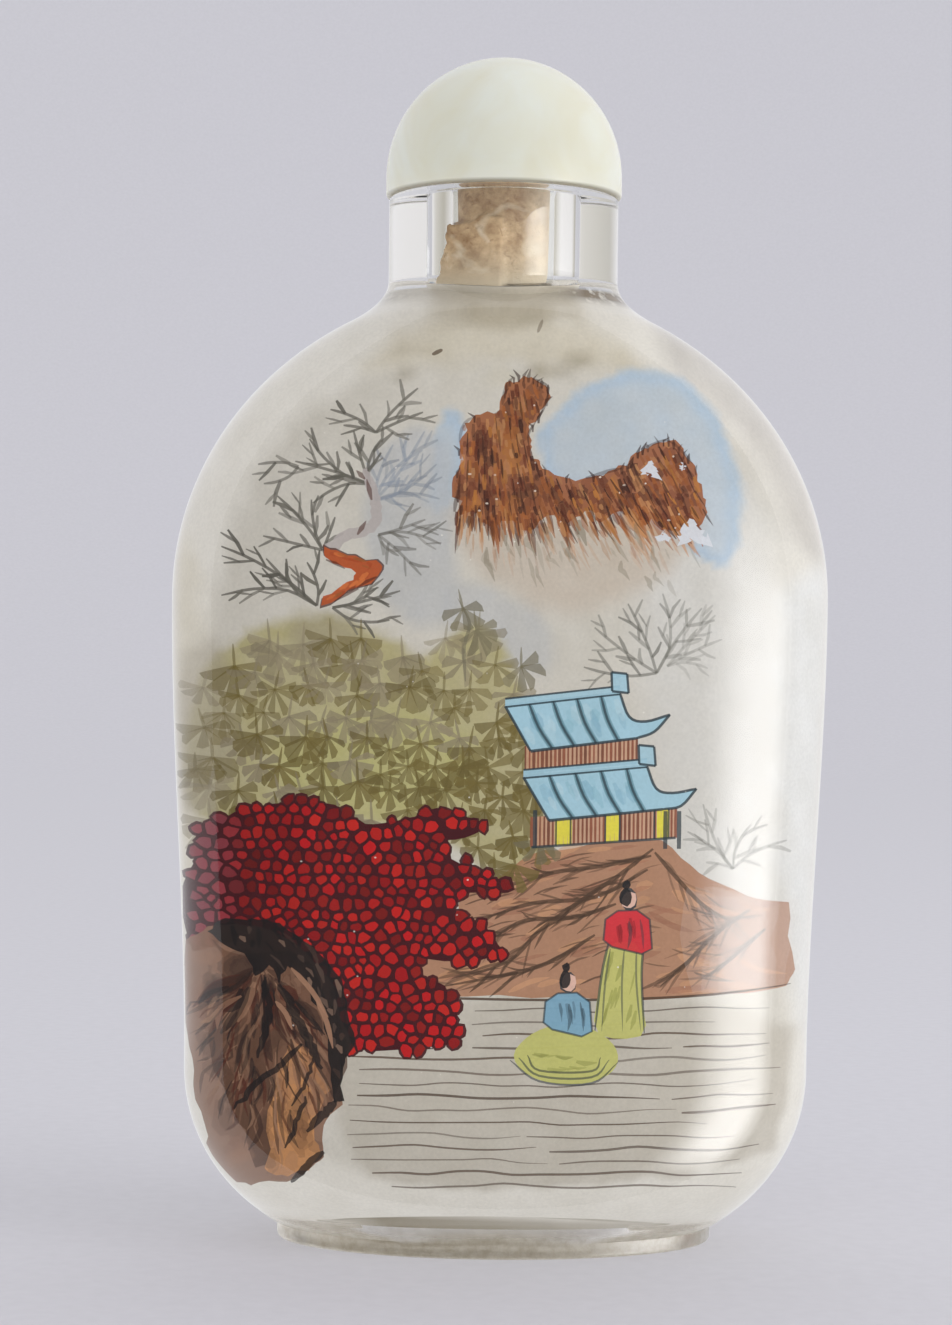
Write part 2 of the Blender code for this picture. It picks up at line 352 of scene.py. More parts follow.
def hollow_sections(s, grow=0.0, steps=30):
    """The hollow from the edge of its floor up to the throat, made larger all round by grow."""
    made = []
    for turn in quarter(16)[::-1]:
        inset = 1 - math.cos(turn)
        made.append((
            mix(s.corner_height, s.floor_height - grow, math.sin(turn)),
            s.base_half_width - s.side_wall + grow - s.hollow_corner_reach * inset,
            s.base_half_depth - s.front_wall + grow - s.hollow_corner_depth_reach * inset,
            mix(s.hollow_squareness, ROUND, turn / (math.pi / 2)),
        ))
    for share in shares(12):
        height, half_width, half_depth, _ = side_section(s, share)
        made.append((height, half_width - s.side_wall + grow, half_depth - s.front_wall + grow, s.hollow_squareness))
    reach = BOTTLE_TOP.x - s.side_wall
    deepest = BOTTLE_TOP.y - s.front_wall
    top = math.acos(s.hollow_throat / reach)
    for share in shares(steps):
        cosine = math.cos(share * top)
        made.append((
            s.shoulder_height + (s.hollow_shoulder_rise + grow) * math.sin(share * top),
            (reach + grow) * cosine,
            mix(s.bore_radius, deepest, cosine ** 0.8) + grow,
            mix(ROUND, s.hollow_squareness, cosine),
        ))
    made.append(disc(s.throat_height, s.bore_radius + grow))
    return made


def lofted(name, sections, points, pointed=False):
    """A closed shape pulled up ring by ring from a filled circle, and closed over its last ring."""
    bpy.ops.object.select_all(action="DESELECT")
    bpy.ops.mesh.primitive_circle_add(vertices=points, radius=1, fill_type="NGON")
    piece = bpy.context.object
    piece.name = name
    piece.data.name = name
    for vertex, place in zip(piece.data.vertices, level_outline(sections[0], points)):
        vertex.co = place
    bpy.ops.object.mode_set(mode="EDIT")
    for section in sections[1:]:
        bpy.ops.mesh.extrude_edges_move()
        build = bmesh.from_edit_mesh(piece.data)
        ring = [vertex for vertex in build.verts if vertex.select]
        for vertex, place in zip(ring, level_outline(section, points)):
            vertex.co = place
    if pointed:
        bpy.ops.mesh.merge(type="CENTER")
    else:
        bpy.ops.mesh.edge_face_add()
    bpy.ops.mesh.select_all(action="SELECT")
    bpy.ops.mesh.normals_make_consistent(inside=False)
    bpy.ops.object.mode_set(mode="OBJECT")
    bpy.ops.object.shade_smooth_by_angle(angle=SMOOTH_ANGLE)
    return piece


def new_object(name, data):
    """A new object in the scene."""
    made = bpy.data.objects.new(name, data)
    bpy.context.scene.collection.objects.link(made)
    return made


def finish_piece(piece, material, node=None):
    """Gives a piece its material and the body that it rides on."""
    piece.data.materials.clear()
    piece.data.materials.append(material)
    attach(piece, "root")
    if node:
        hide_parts(node)


class Nodes:
    """The nodes of a material or a lamp. A value is a number, a colour or the output of another node."""

    def __init__(self, tree):
        self.tree = tree

    def fill(self, node, values):
        """Gives the inputs of a node their values."""
        for name, value in values.items():
            socket = node.inputs[name]
            if hasattr(value, "links"):
                self.tree.links.new(value, socket)
            else:
                socket.default_value = (*value, 1) if socket.type == "RGBA" else value

    def shader(self, values):
        """Gives the main shader its values and puts out the shader."""
        main = self.tree.nodes["Principled BSDF"]
        self.fill(main, values)
        return main.outputs[0]

    def add(self, kind, values, output=0, **settings):
        """Adds a node and puts out one of its outputs."""
        made = self.tree.nodes.new("ShaderNode" + kind)
        for name, setting in settings.items():
            setattr(made, name, setting)
        self.fill(made, values)
        return made.outputs[output]

    def place(self):
        """The place on the piece, and its three axes."""
        made = self.add("TexCoord", {}, "Object")
        return made, *self.add("SeparateXYZ", {0: made}).node.outputs

    def noise(self, place, scale, detail=4.0, roughness=0.5, distortion=0.0):
        """A noise over the piece, with its scale in turns for each metre."""
        values = {"Vector": place, "Scale": scale, "Detail": detail, "Roughness": roughness, "Distortion": distortion}
        return self.add("TexNoise", values, "Fac")

    def ramp(self, value, *stops):
        """Colours read from a value through a ramp of places and colours."""
        made = self.add("ValToRGB", {0: value}).node
        elements = made.color_ramp.elements
        for index, (place, colour) in enumerate(stops):
            element = elements[index] if index < 2 else elements.new(place)
            element.position = place
            element.color = (*colour, 1)
        return made.outputs[0]

    def span(self, value, reach, start, end):
        """A value carried from a reach of its own to another from start to end."""
        return self.add("MapRange", {0: value, 1: reach[0], 2: reach[1], 3: start, 4: end})

    def blend(self, factor, first, second, mode="MIX"):
        """Two colours blended by a factor."""
        return self.add("Mix", {0: factor, 6: first, 7: second}, 2, data_type="RGBA", blend_type=mode)

    def times(self, first, second):
        """Two colours multiplied."""
        return self.blend(1.0, first, second, "MULTIPLY")

    def bump(self, height, strength):
        """The normal of a surface that stands up and down by a fifth of a millimetre."""
        return self.add("Bump", {"Strength": strength, "Distance": 0.2 * MM, "Height": height})

    def put_out(self, factor, first, second):
        """Sends a mix of two shaders to the surface."""
        mixed = self.add("MixShader", {0: factor, 1: first, 2: second})
        self.fill(self.tree.nodes["Material Output"], {"Surface": mixed})


def new_material(name):
    """A new material and its nodes."""
    made = bpy.data.materials.new(name)
    made.use_nodes = True
    return made, Nodes(made.node_tree)


def plain(value):
    """A grey from 0 to 1."""
    return (value, value, value)


def clear_glass():
    """Hand-polished glass that lamps shine through, with a ground and worn foot darkened as painted shade, and a darker
    band in the crease under the neck.
    """
    hue = bpy.context.scene.snuff_finish
    made, nodes = new_material("clear_glass")
    place, across, _, up = nodes.place()
    # The foot's grains are partly ground and worn glass and partly painted shade.
    foot = nodes.span(up, WORN_AND_SHADED_FOOT, 1.0, 0.0)
    worn = nodes.ramp(nodes.noise(place, 1500, 6, 0.7), (0.36, hue.glass_worn_and_shade), (0.62, hue.glass_ground_and_shade))
    # A darker band in the crease under the neck, stronger on its right, in patches.
    level = nodes.span(up, CREASE, 0.0, 1.0)
    band = nodes.ramp(level, (0.1, plain(0)), (0.42, plain(1)), (0.66, plain(1)), (0.84, plain(0)))
    side = nodes.span(across, CREASE_WIDTH, 0.0, 1.0)
    sides = nodes.ramp(side, (0.05, plain(0.4)), (0.3, plain(0.08)), (0.62, plain(0.1)), (0.82, plain(1)))
    patches = nodes.ramp(nodes.noise(place, 1100, 5, 0.6), (0.32, plain(0)), (0.46, plain(1)))
    crease_darkening = nodes.times(nodes.times(band, sides), patches)
    smear = nodes.span(nodes.noise(place, 70, 5, 0.6), (0.5, 0.75), 0.0, 0.05)
    shader = nodes.shader({
        "Base Color": nodes.blend(crease_darkening, nodes.blend(foot, hue.glass, worn), hue.dark_band),
        "Roughness": nodes.add("Math", {0: foot, 1: 0.3, 2: smear}, operation="MULTIPLY_ADD"),
        "Normal": nodes.bump(nodes.noise(place, 110, 2), 0.25),
        "Transmission Weight": 1.0,
        "IOR": 1.5,
    })
    rays = nodes.add("LightPath", {}).node.outputs
    either = nodes.add("Math", {0: rays["Is Shadow Ray"], 1: rays["Is Diffuse Ray"]}, operation="MAXIMUM")
    nodes.put_out(either, shader, nodes.add("BsdfTransparent", {}))
    return made


def painted_skin():
    """Ground glass and thin paint, which the light also comes through from behind."""
    made, nodes = new_material("painted_skin")
    place = nodes.add("TexCoord", {}, "Object")
    paint = nodes.add("VertexColor", {}, "Color", layer_name="paint")
    grains = nodes.ramp(nodes.noise(place, 5200, 3), (0.25, plain(0.90)), (0.75, plain(1)))
    mottles = nodes.ramp(nodes.noise(place, 420, 5), (0.3, (0.93, 0.925, 0.91)), (0.7, plain(1)))
    colour = nodes.times(nodes.times(paint, grains), mottles)
    shader = nodes.shader({"Base Color": colour, "Roughness": 0.7, "Specular IOR Level": 0.15})
    nodes.put_out(0.12, shader, nodes.add("BsdfTranslucent", {"Color": colour}))
    return made


def cork_material():
    """Matt cork with pores, bark streaks, pale patches and a dusty lower end, with painted shade on its left side and
    painted light on its right side.
    """
    hue = bpy.context.scene.snuff_finish
    made, nodes = new_material("cork")
    place, across, _, up = nodes.place()
    body = nodes.noise(place, 900, 6, 0.65)
    pores = nodes.noise(place, 2600, 4, 0.7, 0.6)
    patch = nodes.noise(place, 330, 3, 0.5, 0.8)
    colour = nodes.ramp(body, (0.3, hue.cork_dark), (0.62, hue.cork), (0.78, hue.cork_pale_and_lit))
    colour = nodes.blend(nodes.span(pores, (0.34, 0.42), 0.65, 0.0), colour, hue.cork_dark)
    colour = nodes.blend(nodes.span(patch, (0.56, 0.68), 0.0, 0.75), colour, hue.cork_pale_and_lit)
    colour = nodes.blend(nodes.span(up, CORK_DUST, 0.92, 0.0), colour, hue.cork_dust)
    # Painted shade darkens the cork's left side, and painted light makes its right side paler.
    shade = nodes.blend(nodes.span(across, CORK_PAINTED_SHADE, 0.4, 0.0), plain(1), (0.80, 0.75, 0.68))
    colour = nodes.blend(nodes.span(across, CORK_PAINTED_LIGHT, 0.0, 0.5), nodes.times(colour, shade), hue.cork_pale_and_lit)
    nodes.shader({"Base Color": colour, "Roughness": 0.85, "Normal": nodes.bump(pores, 0.5)})
    return made


def stone_material():
    """Polished pale green stone that light enters a little way, with a darker band at its lower edge."""
    hue = bpy.context.scene.snuff_finish
    made, nodes = new_material("pale_green_stone")
    place, _, _, up = nodes.place()
    clouds = nodes.ramp(nodes.noise(place, 150, 4, 0.5, 1.2), (0.35, hue.stone), (0.7, hue.stone_cloud))
    nodes.shader({
        # A darker band along the stopper's lower edge.
        "Base Color": nodes.blend(nodes.span(up, STOPPER_DARK_BAND, 0.6, 0.0), clouds, hue.dark_band),
        "Roughness": 0.24,
        "Specular IOR Level": 0.2,
        "Subsurface Weight": 0.6,
        "Subsurface Radius": (1.0, 1.0, 0.8),
        "Subsurface Scale": 0.003,
    })
    return made


def smoothed(outline, rounds=2):
    """A closed outline with its corners cut off."""
    outline = np.array(outline, float)
    for _ in range(rounds):
        after = np.roll(outline, -1, axis=0)
        outline = np.stack([mix(outline, after, 0.25), mix(outline, after, 0.75)], axis=1).reshape(-1, 2)
    return outline


def curve(points, steps=4):
    """A smooth open path through the points."""
    points = np.array(points, float)
    padded = np.vstack([2 * points[0] - points[1], points, 2 * points[-1] - points[-2]])
    made = []
    for index in range(len(points) - 1):
        a, b, c, d = padded[index:index + 4]
        for share in np.linspace(0, 1, steps, endpoint=False):
            bend = (2 * a - 5 * b + 4 * c - d) * share ** 2 + (3 * b - a - 3 * c + d) * share ** 3
            made.append((2 * b + (c - a) * share + bend) / 2)
    made.append(points[-1])
    return np.array(made)


def heading(turn):
    """A step one long in the direction of an angle."""
    return np.array([math.cos(turn), math.sin(turn)])


def diamond(x, z, wide, tall, rounds=1):
    """A rounded blot about a place."""
    return smoothed([(x - wide, z), (x, z - tall), (x + wide, z), (x, z + tall)], rounds)


def bar(start, end, lift=(0, 0)):
    """A short path through a middle that may be moved."""
    start, end = np.array(start, float), np.array(end, float)
    return [start, (start + end) / 2 + lift, end]


def inside(places, outline):
    """Which places an outline winds round."""
    turns = np.zeros(len(places), int)
    x, z = places[:, 0], places[:, 1]
    for (ax, az), (bx, bz) in zip(outline, np.roll(outline, -1, axis=0)):
        crossing = (az > z) != (bz > z)
        rise = bz - az if bz != az else 1.0
        turns += np.where(crossing & (x < (bx - ax) * (z - az) / rise + ax), 1 if bz > az else -1, 0)
    return turns != 0


def within(path, outline):
    """Whether all of a path lies inside an outline."""
    return inside(np.array(path), np.array(outline)).all()


def distance_to(places, outline):
    """How far each place is from an outline."""
    nearest = np.full(len(places), 1e9)
    for start, end in zip(outline, np.roll(outline, -1, axis=0)):
        along = end - start
        share = np.clip(((places - start) @ along) / max(float(along @ along), 1e-12), 0, 1)
        nearest = np.minimum(nearest, np.linalg.norm(places - start - share[:, None] * along, axis=1))
    return nearest


def ripple(places, scale, seed):
    """A soft uneven value about nought over the sheet, with hills about scale wide."""
    draw = random.Random(seed)
    total = np.zeros(len(places))
    for _ in range(9):
        turn = draw.uniform(0, 2 * math.pi)
        wave = 2 * math.pi / (scale * draw.uniform(0.7, 1.8))
        total += np.sin(places @ heading(turn) * wave + draw.uniform(0, 6))
    return total / 9


class Picture(random.Random):
    """Washes and brush marks on one sheet, in the order that they are painted, in millimetres."""

    def __init__(self, seed):
        super().__init__(seed)
        self.washes, self.marks = [], []

    def shade(self, colour, amount=0.12):
        """A colour a little lighter or darker than the one given."""
        change = 1 + self.uniform(-amount, amount)
        return tuple(held(value * change) for value in colour)

    def wash(self, outline, colour, strength, softness, rim=0.0):
        """A soft-edged area, with a darker rim where the paint dried."""
        self.washes.append((smoothed(outline), colour, strength, softness, rim))

    def area(self, outline, colour, strength):
        """A hard-edged area."""
        self.marks.append((np.array(outline, float), colour, strength))

    def stroke(self, path, width, colour, strength, start=0.35, end=0.15):
        """A brush stroke along a path, narrowed to a share of its width at each end."""
        path = np.array(path, float)
        ahead = np.gradient(path, axis=0)
        ahead /= np.maximum(np.linalg.norm(ahead, axis=1), 1e-9)[:, None]
        across = np.column_stack([-ahead[:, 1], ahead[:, 0]])
        share = np.linspace(0, 1, len(path))
        half = width / 2 * np.minimum(1, np.minimum(start + 4 * share, end + 3 * (1 - share)))
        left, right = path + across * half[:, None], path - across * half[:, None]
        self.area(np.concatenate([left, right[::-1]]), colour, strength)

    def dab(self, x, z, width, height, colour, strength, points, turn=0.0):
        """A small rounded touch of the brush with an uneven edge."""
        made = []
        for index in range(points):
            angle = 2 * math.pi * index / points
            reach = self.uniform(0.85, 1.12) / 2
            across, up = math.cos(angle) * width * reach, math.sin(angle) * height * reach
            made.append((
                x + across * math.cos(turn) - up * math.sin(turn),
                z + across * math.sin(turn) + up * math.cos(turn),
            ))
        self.area(made, colour, strength)

    def rough(self, outline, amount, rounds=2):
        """An outline with uneven edges."""
        outline = np.array(outline, float)
        for _ in range(rounds):
            made = []
            for start, end in zip(outline, np.roll(outline, -1, axis=0)):
                middle = (start + end) / 2
                length = float(np.linalg.norm(end - start))
                made += [start, middle + np.array([self.uniform(-1, 1), self.uniform(-1, 1)]) * amount * length]
            outline = np.array(made)
        return outline

    def cells(self, outline, spacing, gap=0.15, sides=9):
        """Rounded cells packed inside an outline. Each is given whole and drawn in by the gap."""
        outline = np.array(outline, float)
        low, high = outline.min(axis=0) - 2, outline.max(axis=0) + 2
        centres = self.scatter([low, (high[0], low[1]), high, (low[0], high[1])], spacing)
        centres = centres + np.column_stack([ripple(centres, 2.6, 3), ripple(centres, 2.6, 4)]) * 0.45
        turns = np.linspace(0, 2 * math.pi, sides, endpoint=False) + 0.2
        facing = np.column_stack([np.cos(turns), np.sin(turns)])
        made = []
        for centre in centres[inside(centres, outline)]:
            apart = centres - centre
            far = (apart ** 2).sum(axis=1)
            near = (far > 1e-9) & (far < (2.2 * spacing) ** 2)
            along = np.maximum(facing @ apart[near].T, 1e-6)
            reach = np.minimum((far[near] / 2 / along).min(axis=1), spacing * 0.72)
            smaller, lean = 1 - self.uniform(0.0, 0.14), self.uniform(0, 6)
            drawn_in = (reach - gap / 2) * smaller * (1 + 0.08 * np.cos(2 * turns + lean))
            made.append((centre + facing * (reach + 0.07)[:, None], centre + facing * drawn_in[:, None]))
        return made

    def scatter(self, outline, spacing):
        """Places about evenly spread inside an outline, from the top down."""
        outline = np.array(outline, float)
        low, high = outline.min(axis=0), outline.max(axis=0)
        made = []
        row = 0
        z = high[1]
        while z > low[1]:
            x = low[0] + (row % 2) * spacing / 2
            while x < high[0]:
                made.append((x + self.uniform(-0.22, 0.22) * spacing, z + self.uniform(-0.22, 0.22) * spacing))
                x += spacing
            z -= spacing * 0.87
            row += 1
        made = np.array(made)
        return made[inside(made, outline)]


def sprig(art, base, tip, colour, strength):
    """A bent twig with a few thick needles on both its sides."""
    pick = art.uniform
    base, tip = np.array(base, float), np.array(tip, float)
    ahead = tip - base
    across = np.array([-ahead[1], ahead[0]])
    length = float(np.hypot(*ahead))
    bow = pick(-0.14, 0.14)
    stem = curve([base, base + ahead * 0.33 + across * bow, base + ahead * 0.7 + across * bow * 0.8, tip], 3)
    art.stroke(stem, 0.17, art.shade(colour), strength, 0.9, 0.5)
    count = max(2, round(length / 0.95))
    for index in range(count):
        place = 0.28 + 0.62 * index / count + pick(-0.04, 0.04)
        start = stem[int(place * (len(stem) - 1))]
        side = 1 if index % 2 else -1
        angle = math.atan2(ahead[1], ahead[0]) + side * pick(0.45, 0.95)
        reach = pick(0.9, 1.7) * min(1, 0.55 + length / 6)
        end = start + heading(angle) * reach
        middle = (start + end) / 2 + (pick(-0.1, 0.1), pick(-0.1, 0.1))
        wide = pick(0.15, 0.26)
        art.stroke([start, middle, end], wide, art.shade(colour, 0.25), strength * pick(0.7, 1.15), 0.7, 0.5)
        if reach > 1.35:
            turn = angle - side * pick(0.4, 0.8)
            end = middle + heading(turn) * reach * 0.6
            art.stroke(bar(middle, end), wide * 0.8, art.shade(colour, 0.2), strength * 0.9, 0.5, 0.4)


def bare_tree(art, base, tips, colour, strength):
    """A small far tree: a few straight grey twigs from one place."""
    for tip in tips:
        sprig(art, base, tip, colour, strength * art.uniform(0.7, 1.1))


def pine(art, hue):
    """The pine at the upper left: a bent warm trunk and sparse twigs of grey needles."""
    pick = art.uniform
    far = rgb(140, 148, 160)
    groups = (
        ((-7.3, 44.4), far, 0.5, ((-3.8, 46.5), (-3.6, 44.5), (-6.3, 47.6), (-4.5, 48.4), (-4.6, 47.3), (-5.2, 45.6))),
        ((-7.1, 42.4), hue.needle, 0.55, ((-3.5, 41.9), (-4.6, 40.1), (-4.4, 43.3), (-5.9, 41.2))),
        ((-7.3, 48.3), hue.needle, 0.8, ((-10, 49.6), (-9.2, 48.7), (-4.9, 50.9), (-4.6, 49.5))),
        ((-7.6, 45.3), hue.needle, 0.8, ((-12, 46.6), (-11.2, 47.9), (-8.6, 48.4), (-7, 47.9), (-10.9, 44.2))),
        ((-11.8, 46.3), hue.needle, 0.7, ((-14.1, 46.4), (-13.8, 45.3))),
        ((-10.3, 41.5), hue.needle, 0.8, ((-13, 44.6), (-13.8, 42.3), (-11, 44.4), (-9.6, 43.4))),
        ((-10.6, 38.3), hue.needle, 0.85, ((-16, 41.7), (-13.6, 41), (-16, 38.9), (-11.2, 40.8))),
        ((-9.7, 38.2), hue.needle, 0.8, ((-7.1, 39.4), (-5.8, 39.2), (-6.4, 37.5))),
    )
    for base, colour, strength, tips in groups:
        for tip in tips:
            sprig(art, base, tip, colour, strength)
    limb = [(-10.1, 41.4), (-9, 42.3), (-7.5, 42.8), (-7.2, 44), (-7.6, 45.3), (-7.9, 46.2)]
    art.stroke(art.rough(curve(limb, 3), 0.2, 1)[:-1], 0.62, rgb(190, 180, 176), 0.85, 0.9, 0.4)
    for start, end in (((-8.3, 42.4), (-7.8, 43.2)), ((-7.5, 44.4), (-7.8, 45.6)), ((-7.9, 45.6), (-8.4, 46.1))):
        art.stroke(bar(start, end), 0.3, hue.crag_dark, 0.7)
    trunk = [
        (-10.2, 41.7), (-9.5, 41.5), (-8.4, 41.2), (-7.2, 40.95), (-6.85, 40.6), (-7.1, 40.05), (-8.2, 39.4),
        (-9.3, 38.8), (-10.35, 38.3), (-10.25, 38.85), (-9.4, 39.3), (-8.5, 39.8), (-8.35, 40.2), (-9, 40.5),
        (-9.7, 40.75), (-10.15, 41.1),
    ]
    edge = art.rough(trunk, 0.16, 1)
    middle = edge.mean(axis=0)
    art.area(middle + (edge - middle) * (1.06, 1.09), hue.crag_dark, 0.85)
    art.area(edge, hue.trunk, 0.96)
    spine = curve([(-10, 41.3), (-8.8, 40.95), (-7.5, 40.55), (-8.2, 39.8), (-9.2, 39.1), (-10.2, 38.55)])
    for index in range(len(spine) - 3):
        part = spine[index:index + 3] + (pick(-0.1, 0.1), pick(-0.22, 0.22))
        tone = art.choice((hue.crag, rgb(228, 128, 66), hue.crag_dark, rgb(176, 74, 34)))
        art.stroke(part, pick(0.12, 0.3), tone, pick(0.4, 0.8), 0.5, 0.4)
    for start, end in (((-7.15, 40), (-8.3, 39.35)), ((-8.2, 39.3), (-9.6, 38.55)), ((-10.1, 40.95), (-9, 40.45))):
        art.stroke(bar(start, end, (0, 0.05)), 0.2, hue.crag_dark, 0.7, 0.4, 0.3)


def crags(art, hue):
    """Two brown crags with a saddle between them, streaked down into mist."""
    pick = art.uniform
    top = [
        (-2.9, 45.4), (-2.5, 46.4), (-2.5, 47.8), (-2.2, 48.9), (-1.3, 49.4), (-0.2, 49.7), (0.1, 50.7), (0.4, 51.4),
        (1.2, 51.7), (2, 51.4), (2.6, 51), (2.4, 49.9), (1.9, 49), (1.5, 48.3), (1.6, 47.3), (2.2, 46.5), (3.2, 45.9),
        (4.8, 45.8), (6.1, 46.2), (7.2, 46.5), (7.8, 47.3), (8.7, 47.8), (9.6, 48), (10.5, 47.3), (11.2, 46.4),
        (11.6, 45.2), (11.9, 43.9),
    ]
    foot = [
        (10.9, 43.2), (9.8, 42.8), (8.6, 43.5), (7.6, 43.1), (6.8, 43.9), (5.6, 43.2), (4.8, 43.9), (3.6, 43),
        (2.6, 43.6), (1.6, 42.7), (0.6, 43.3), (-0.6, 42.9), (-1.4, 43.7), (-2.7, 43),
    ]
    outline = top + foot
    haze, shadow, grey = rgb(206, 190, 172), rgb(112, 54, 32), rgb(132, 122, 100)
    ochre, deep, dust = rgb(186, 120, 56), rgb(58, 28, 20), rgb(206, 164, 128)
    darks = (deep, hue.crag_dark, shadow)
    art.wash([(-2.8, 45), (11.8, 45), (11, 42), (8.6, 39.4), (4, 37.8), (1.6, 38.6), (-2.6, 41)], haze, 0.7, 1.6)

    def streak(x, z, drop, wide, colour, strength, start=0.7, end=0.5):
        lean = mix(-0.12, 0.62, held((x + 3) / 9)) * pick(0.6, 1.3)
        path = [(x, z), (x + lean * drop * 0.45, z - drop * 0.5), (x + lean * drop, z - drop)]
        if z < 44.4 or within(path, outline):
            art.stroke(path, wide, art.shade(colour, 0.22), strength, start, end)

    def band(x, z):
        return float(ripple(np.array([[x, z * 0.4]]), 1.5, 17)[0])

    for _ in range(150):
        x, fall = pick(-2.6, 10.8), pick(0, 1)
        z = 43.8 - fall ** 1.3 * 2.4
        colour = art.choice((hue.crag, ochre, hue.crag_light, dust, dust, grey))
        wide = pick(0.14, 0.4) * (1.2 - 0.5 * fall)
        streak(x, z, pick(0.5, 1.6), wide, colour, mix(0.7, 0.16, fall), 0.5, 0.2)
    art.area(art.rough(outline, 0.26), hue.crag, 0.93)
    ragged = np.array(foot[::-1])
    for _ in range(120):
        x = pick(-2.7, 11)
        z = float(np.interp(x, ragged[:, 0], ragged[:, 1])) + pick(0.1, 0.9)
        colour = art.choice((hue.crag, hue.crag, shadow, ochre, hue.crag_dark, hue.crag_light))
        streak(x, z, pick(0.6, 2), pick(0.12, 0.32), colour, pick(0.45, 0.85), 0.6, 0.15)
    crest = curve(top, 3)
    for x, z in art.scatter(outline, 0.72):
        near = distance_to(np.array([[x, z]]), crest)[0] < 0.75
        tone = art.choice(darks if near or band(x, z) - 0.09 > 0.04 else (ochre, hue.crag_light, hue.crag))
        wide, tall = pick(0.3, 0.6), pick(0.5, 1)
        blot = art.rough(diamond(x, z, wide, tall), 0.45, 1)
        if within(blot, outline):
            art.area(blot, tone, pick(0.3, 0.6))
    spots = art.scatter(outline, 0.48)
    lights = (ochre, ochre, hue.crag, hue.crag, shadow, hue.crag_light)
    for x, z in spots:
        tones = darks if band(x, z) + pick(-0.2, 0.2) > 0.12 else lights
        streak(x, z, pick(0.3, 1), pick(0.12, 0.3), art.choice(tones), pick(0.4, 0.85))
    for x, z in art.scatter(outline, 0.95):
        streak(x, z, pick(0.6, 1.6), pick(0.08, 0.17), deep, pick(0.5, 0.85), 0.5, 0.2)
    for start in range(1, len(crest) - 6, 5):
        if pick(0, 1) < 0.7:
            art.stroke(crest[start:start + 6], pick(0.12, 0.26), deep, pick(0.4, 0.7), 0.4, 0.3)
    for x, z in crest[2:-2]:
        if pick(0, 1) < (0.8 if 0 < x < 2.7 and z > 50.6 or 8.4 < x < 10.8 else 0.25):
            reach, turn = pick(0.25, 0.6), pick(0.5, 2.6)
            tip = (x + math.cos(turn) * reach, z + math.sin(turn) * reach * 0.8)
            art.stroke([(x, z - 0.35), (x, z), tip], pick(0.12, 0.24), deep, pick(0.5, 0.8), 0.6, 0.2)
    for _ in range(17):
        x, z = pick(-2.4, 10), pick(39, 41.8)
        reach, bend = pick(0.8, 2.2), pick(-0.35, 0.35)
        path = [(x, z + reach), (x + bend, z + reach * 0.55), (x + bend * 0.4 + 0.15, z + reach * 0.45), (x + 0.5, z)]
        art.stroke(curve(path, 3), pick(0.14, 0.34), grey, pick(0.2, 0.45), 0.3, 0.1)
    for x, z in spots:
        if pick(0, 1) < 0.07:
            art.dab(x, z, pick(0.08, 0.24), 0.13, rgb(244, 226, 208), pick(0.4, 0.95), 5)
    bare = rgb(226, 228, 234)
    flakes = ((8.5, 46.3, 0.55, 0.45), (10.4, 46.5, 0.25, 0.3), (11, 42.7, 0.95, 0.75), (9.3, 42.4, 0.5, 0.35))
    for x, z, wide, tall in flakes:
        art.area(art.rough(diamond(x, z, wide, tall), 0.8), bare, 0.95)


def sky(art, hue):
    """A blue wash to the right of the crags and a cool mist to their left, with painted light on the right side and
    rim, and painted shade at the right shoulder and the left rim.
    """
    inner = [
        (-11.5, 49.5), (-6, 52.6), (0, 53.6), (6, 53.2), (12, 50.6), (15.4, 45.5), (16.8, 38), (16.6, 12), (14, 5.6),
        (-13, 5.6), (-16.4, 12), (-16.6, 38), (-15, 45),
    ]
    art.wash(inner, hue.plain, 0.85, 1.5)
    # Painted light: a paler wash on the right side. Painted shade: a darker wash at the right shoulder.
    lit, shaded = rgb(226, 224, 220), rgb(206, 200, 193)
    art.wash([(8.5, 49), (15.5, 46), (16.8, 30), (16.4, 17), (12, 17), (9.5, 26), (7.5, 38)], lit, 0.6, 3)
    art.wash([(9, 52.4), (13, 49.6), (15.6, 45.4), (17, 41), (21, 41), (19, 48), (14, 54), (9, 57)], shaded, 0.8, 1.6)
    # Painted light on the right rim and painted shade on the left rim.
    art.wash([(15.8, 38), (16.4, 12), (21, 12), (21, 41), (17, 41)], rgb(238, 238, 237), 0.8, 1.6)
    art.wash([(-16.6, 44), (-16.8, 14), (-21, 14), (-21, 44)], rgb(222, 212, 188), 0.6, 1.6)
    art.wash([(-9.5, 51.4), (-4, 55.4), (4, 55.4), (9.5, 51.4), (3.5, 52.6), (-3.5, 52.6)], hue.beige, 0.6, 1.4)
    art.wash([
        (1.5, 47), (3.2, 50.2), (6, 51.8), (8.3, 52.3), (11, 51.3), (13, 48.8), (13.9, 45.4), (13.9, 42), (12.5, 40.4),
        (9, 43), (4, 44),
    ], hue.sky, 0.68, 0.4, 0.34)
    art.wash([
        (-4.2, 43.5), (-4.3, 46.8), (-3.6, 49.4), (-2.8, 50.2), (-2, 48.6), (-2.3, 44.6),
    ], hue.sky, 0.75, 0.35, 0.2)
    art.wash([(-7.4, 48), (-3, 49), (-2.4, 41), (-3, 36.4), (-6.8, 38), (-8.2, 43)], hue.mist, 0.7, 1)
    art.wash([(-3, 40.5), (3, 38), (3, 34), (0, 35), (-3.2, 36.4)], hue.mist, 0.6, 1)


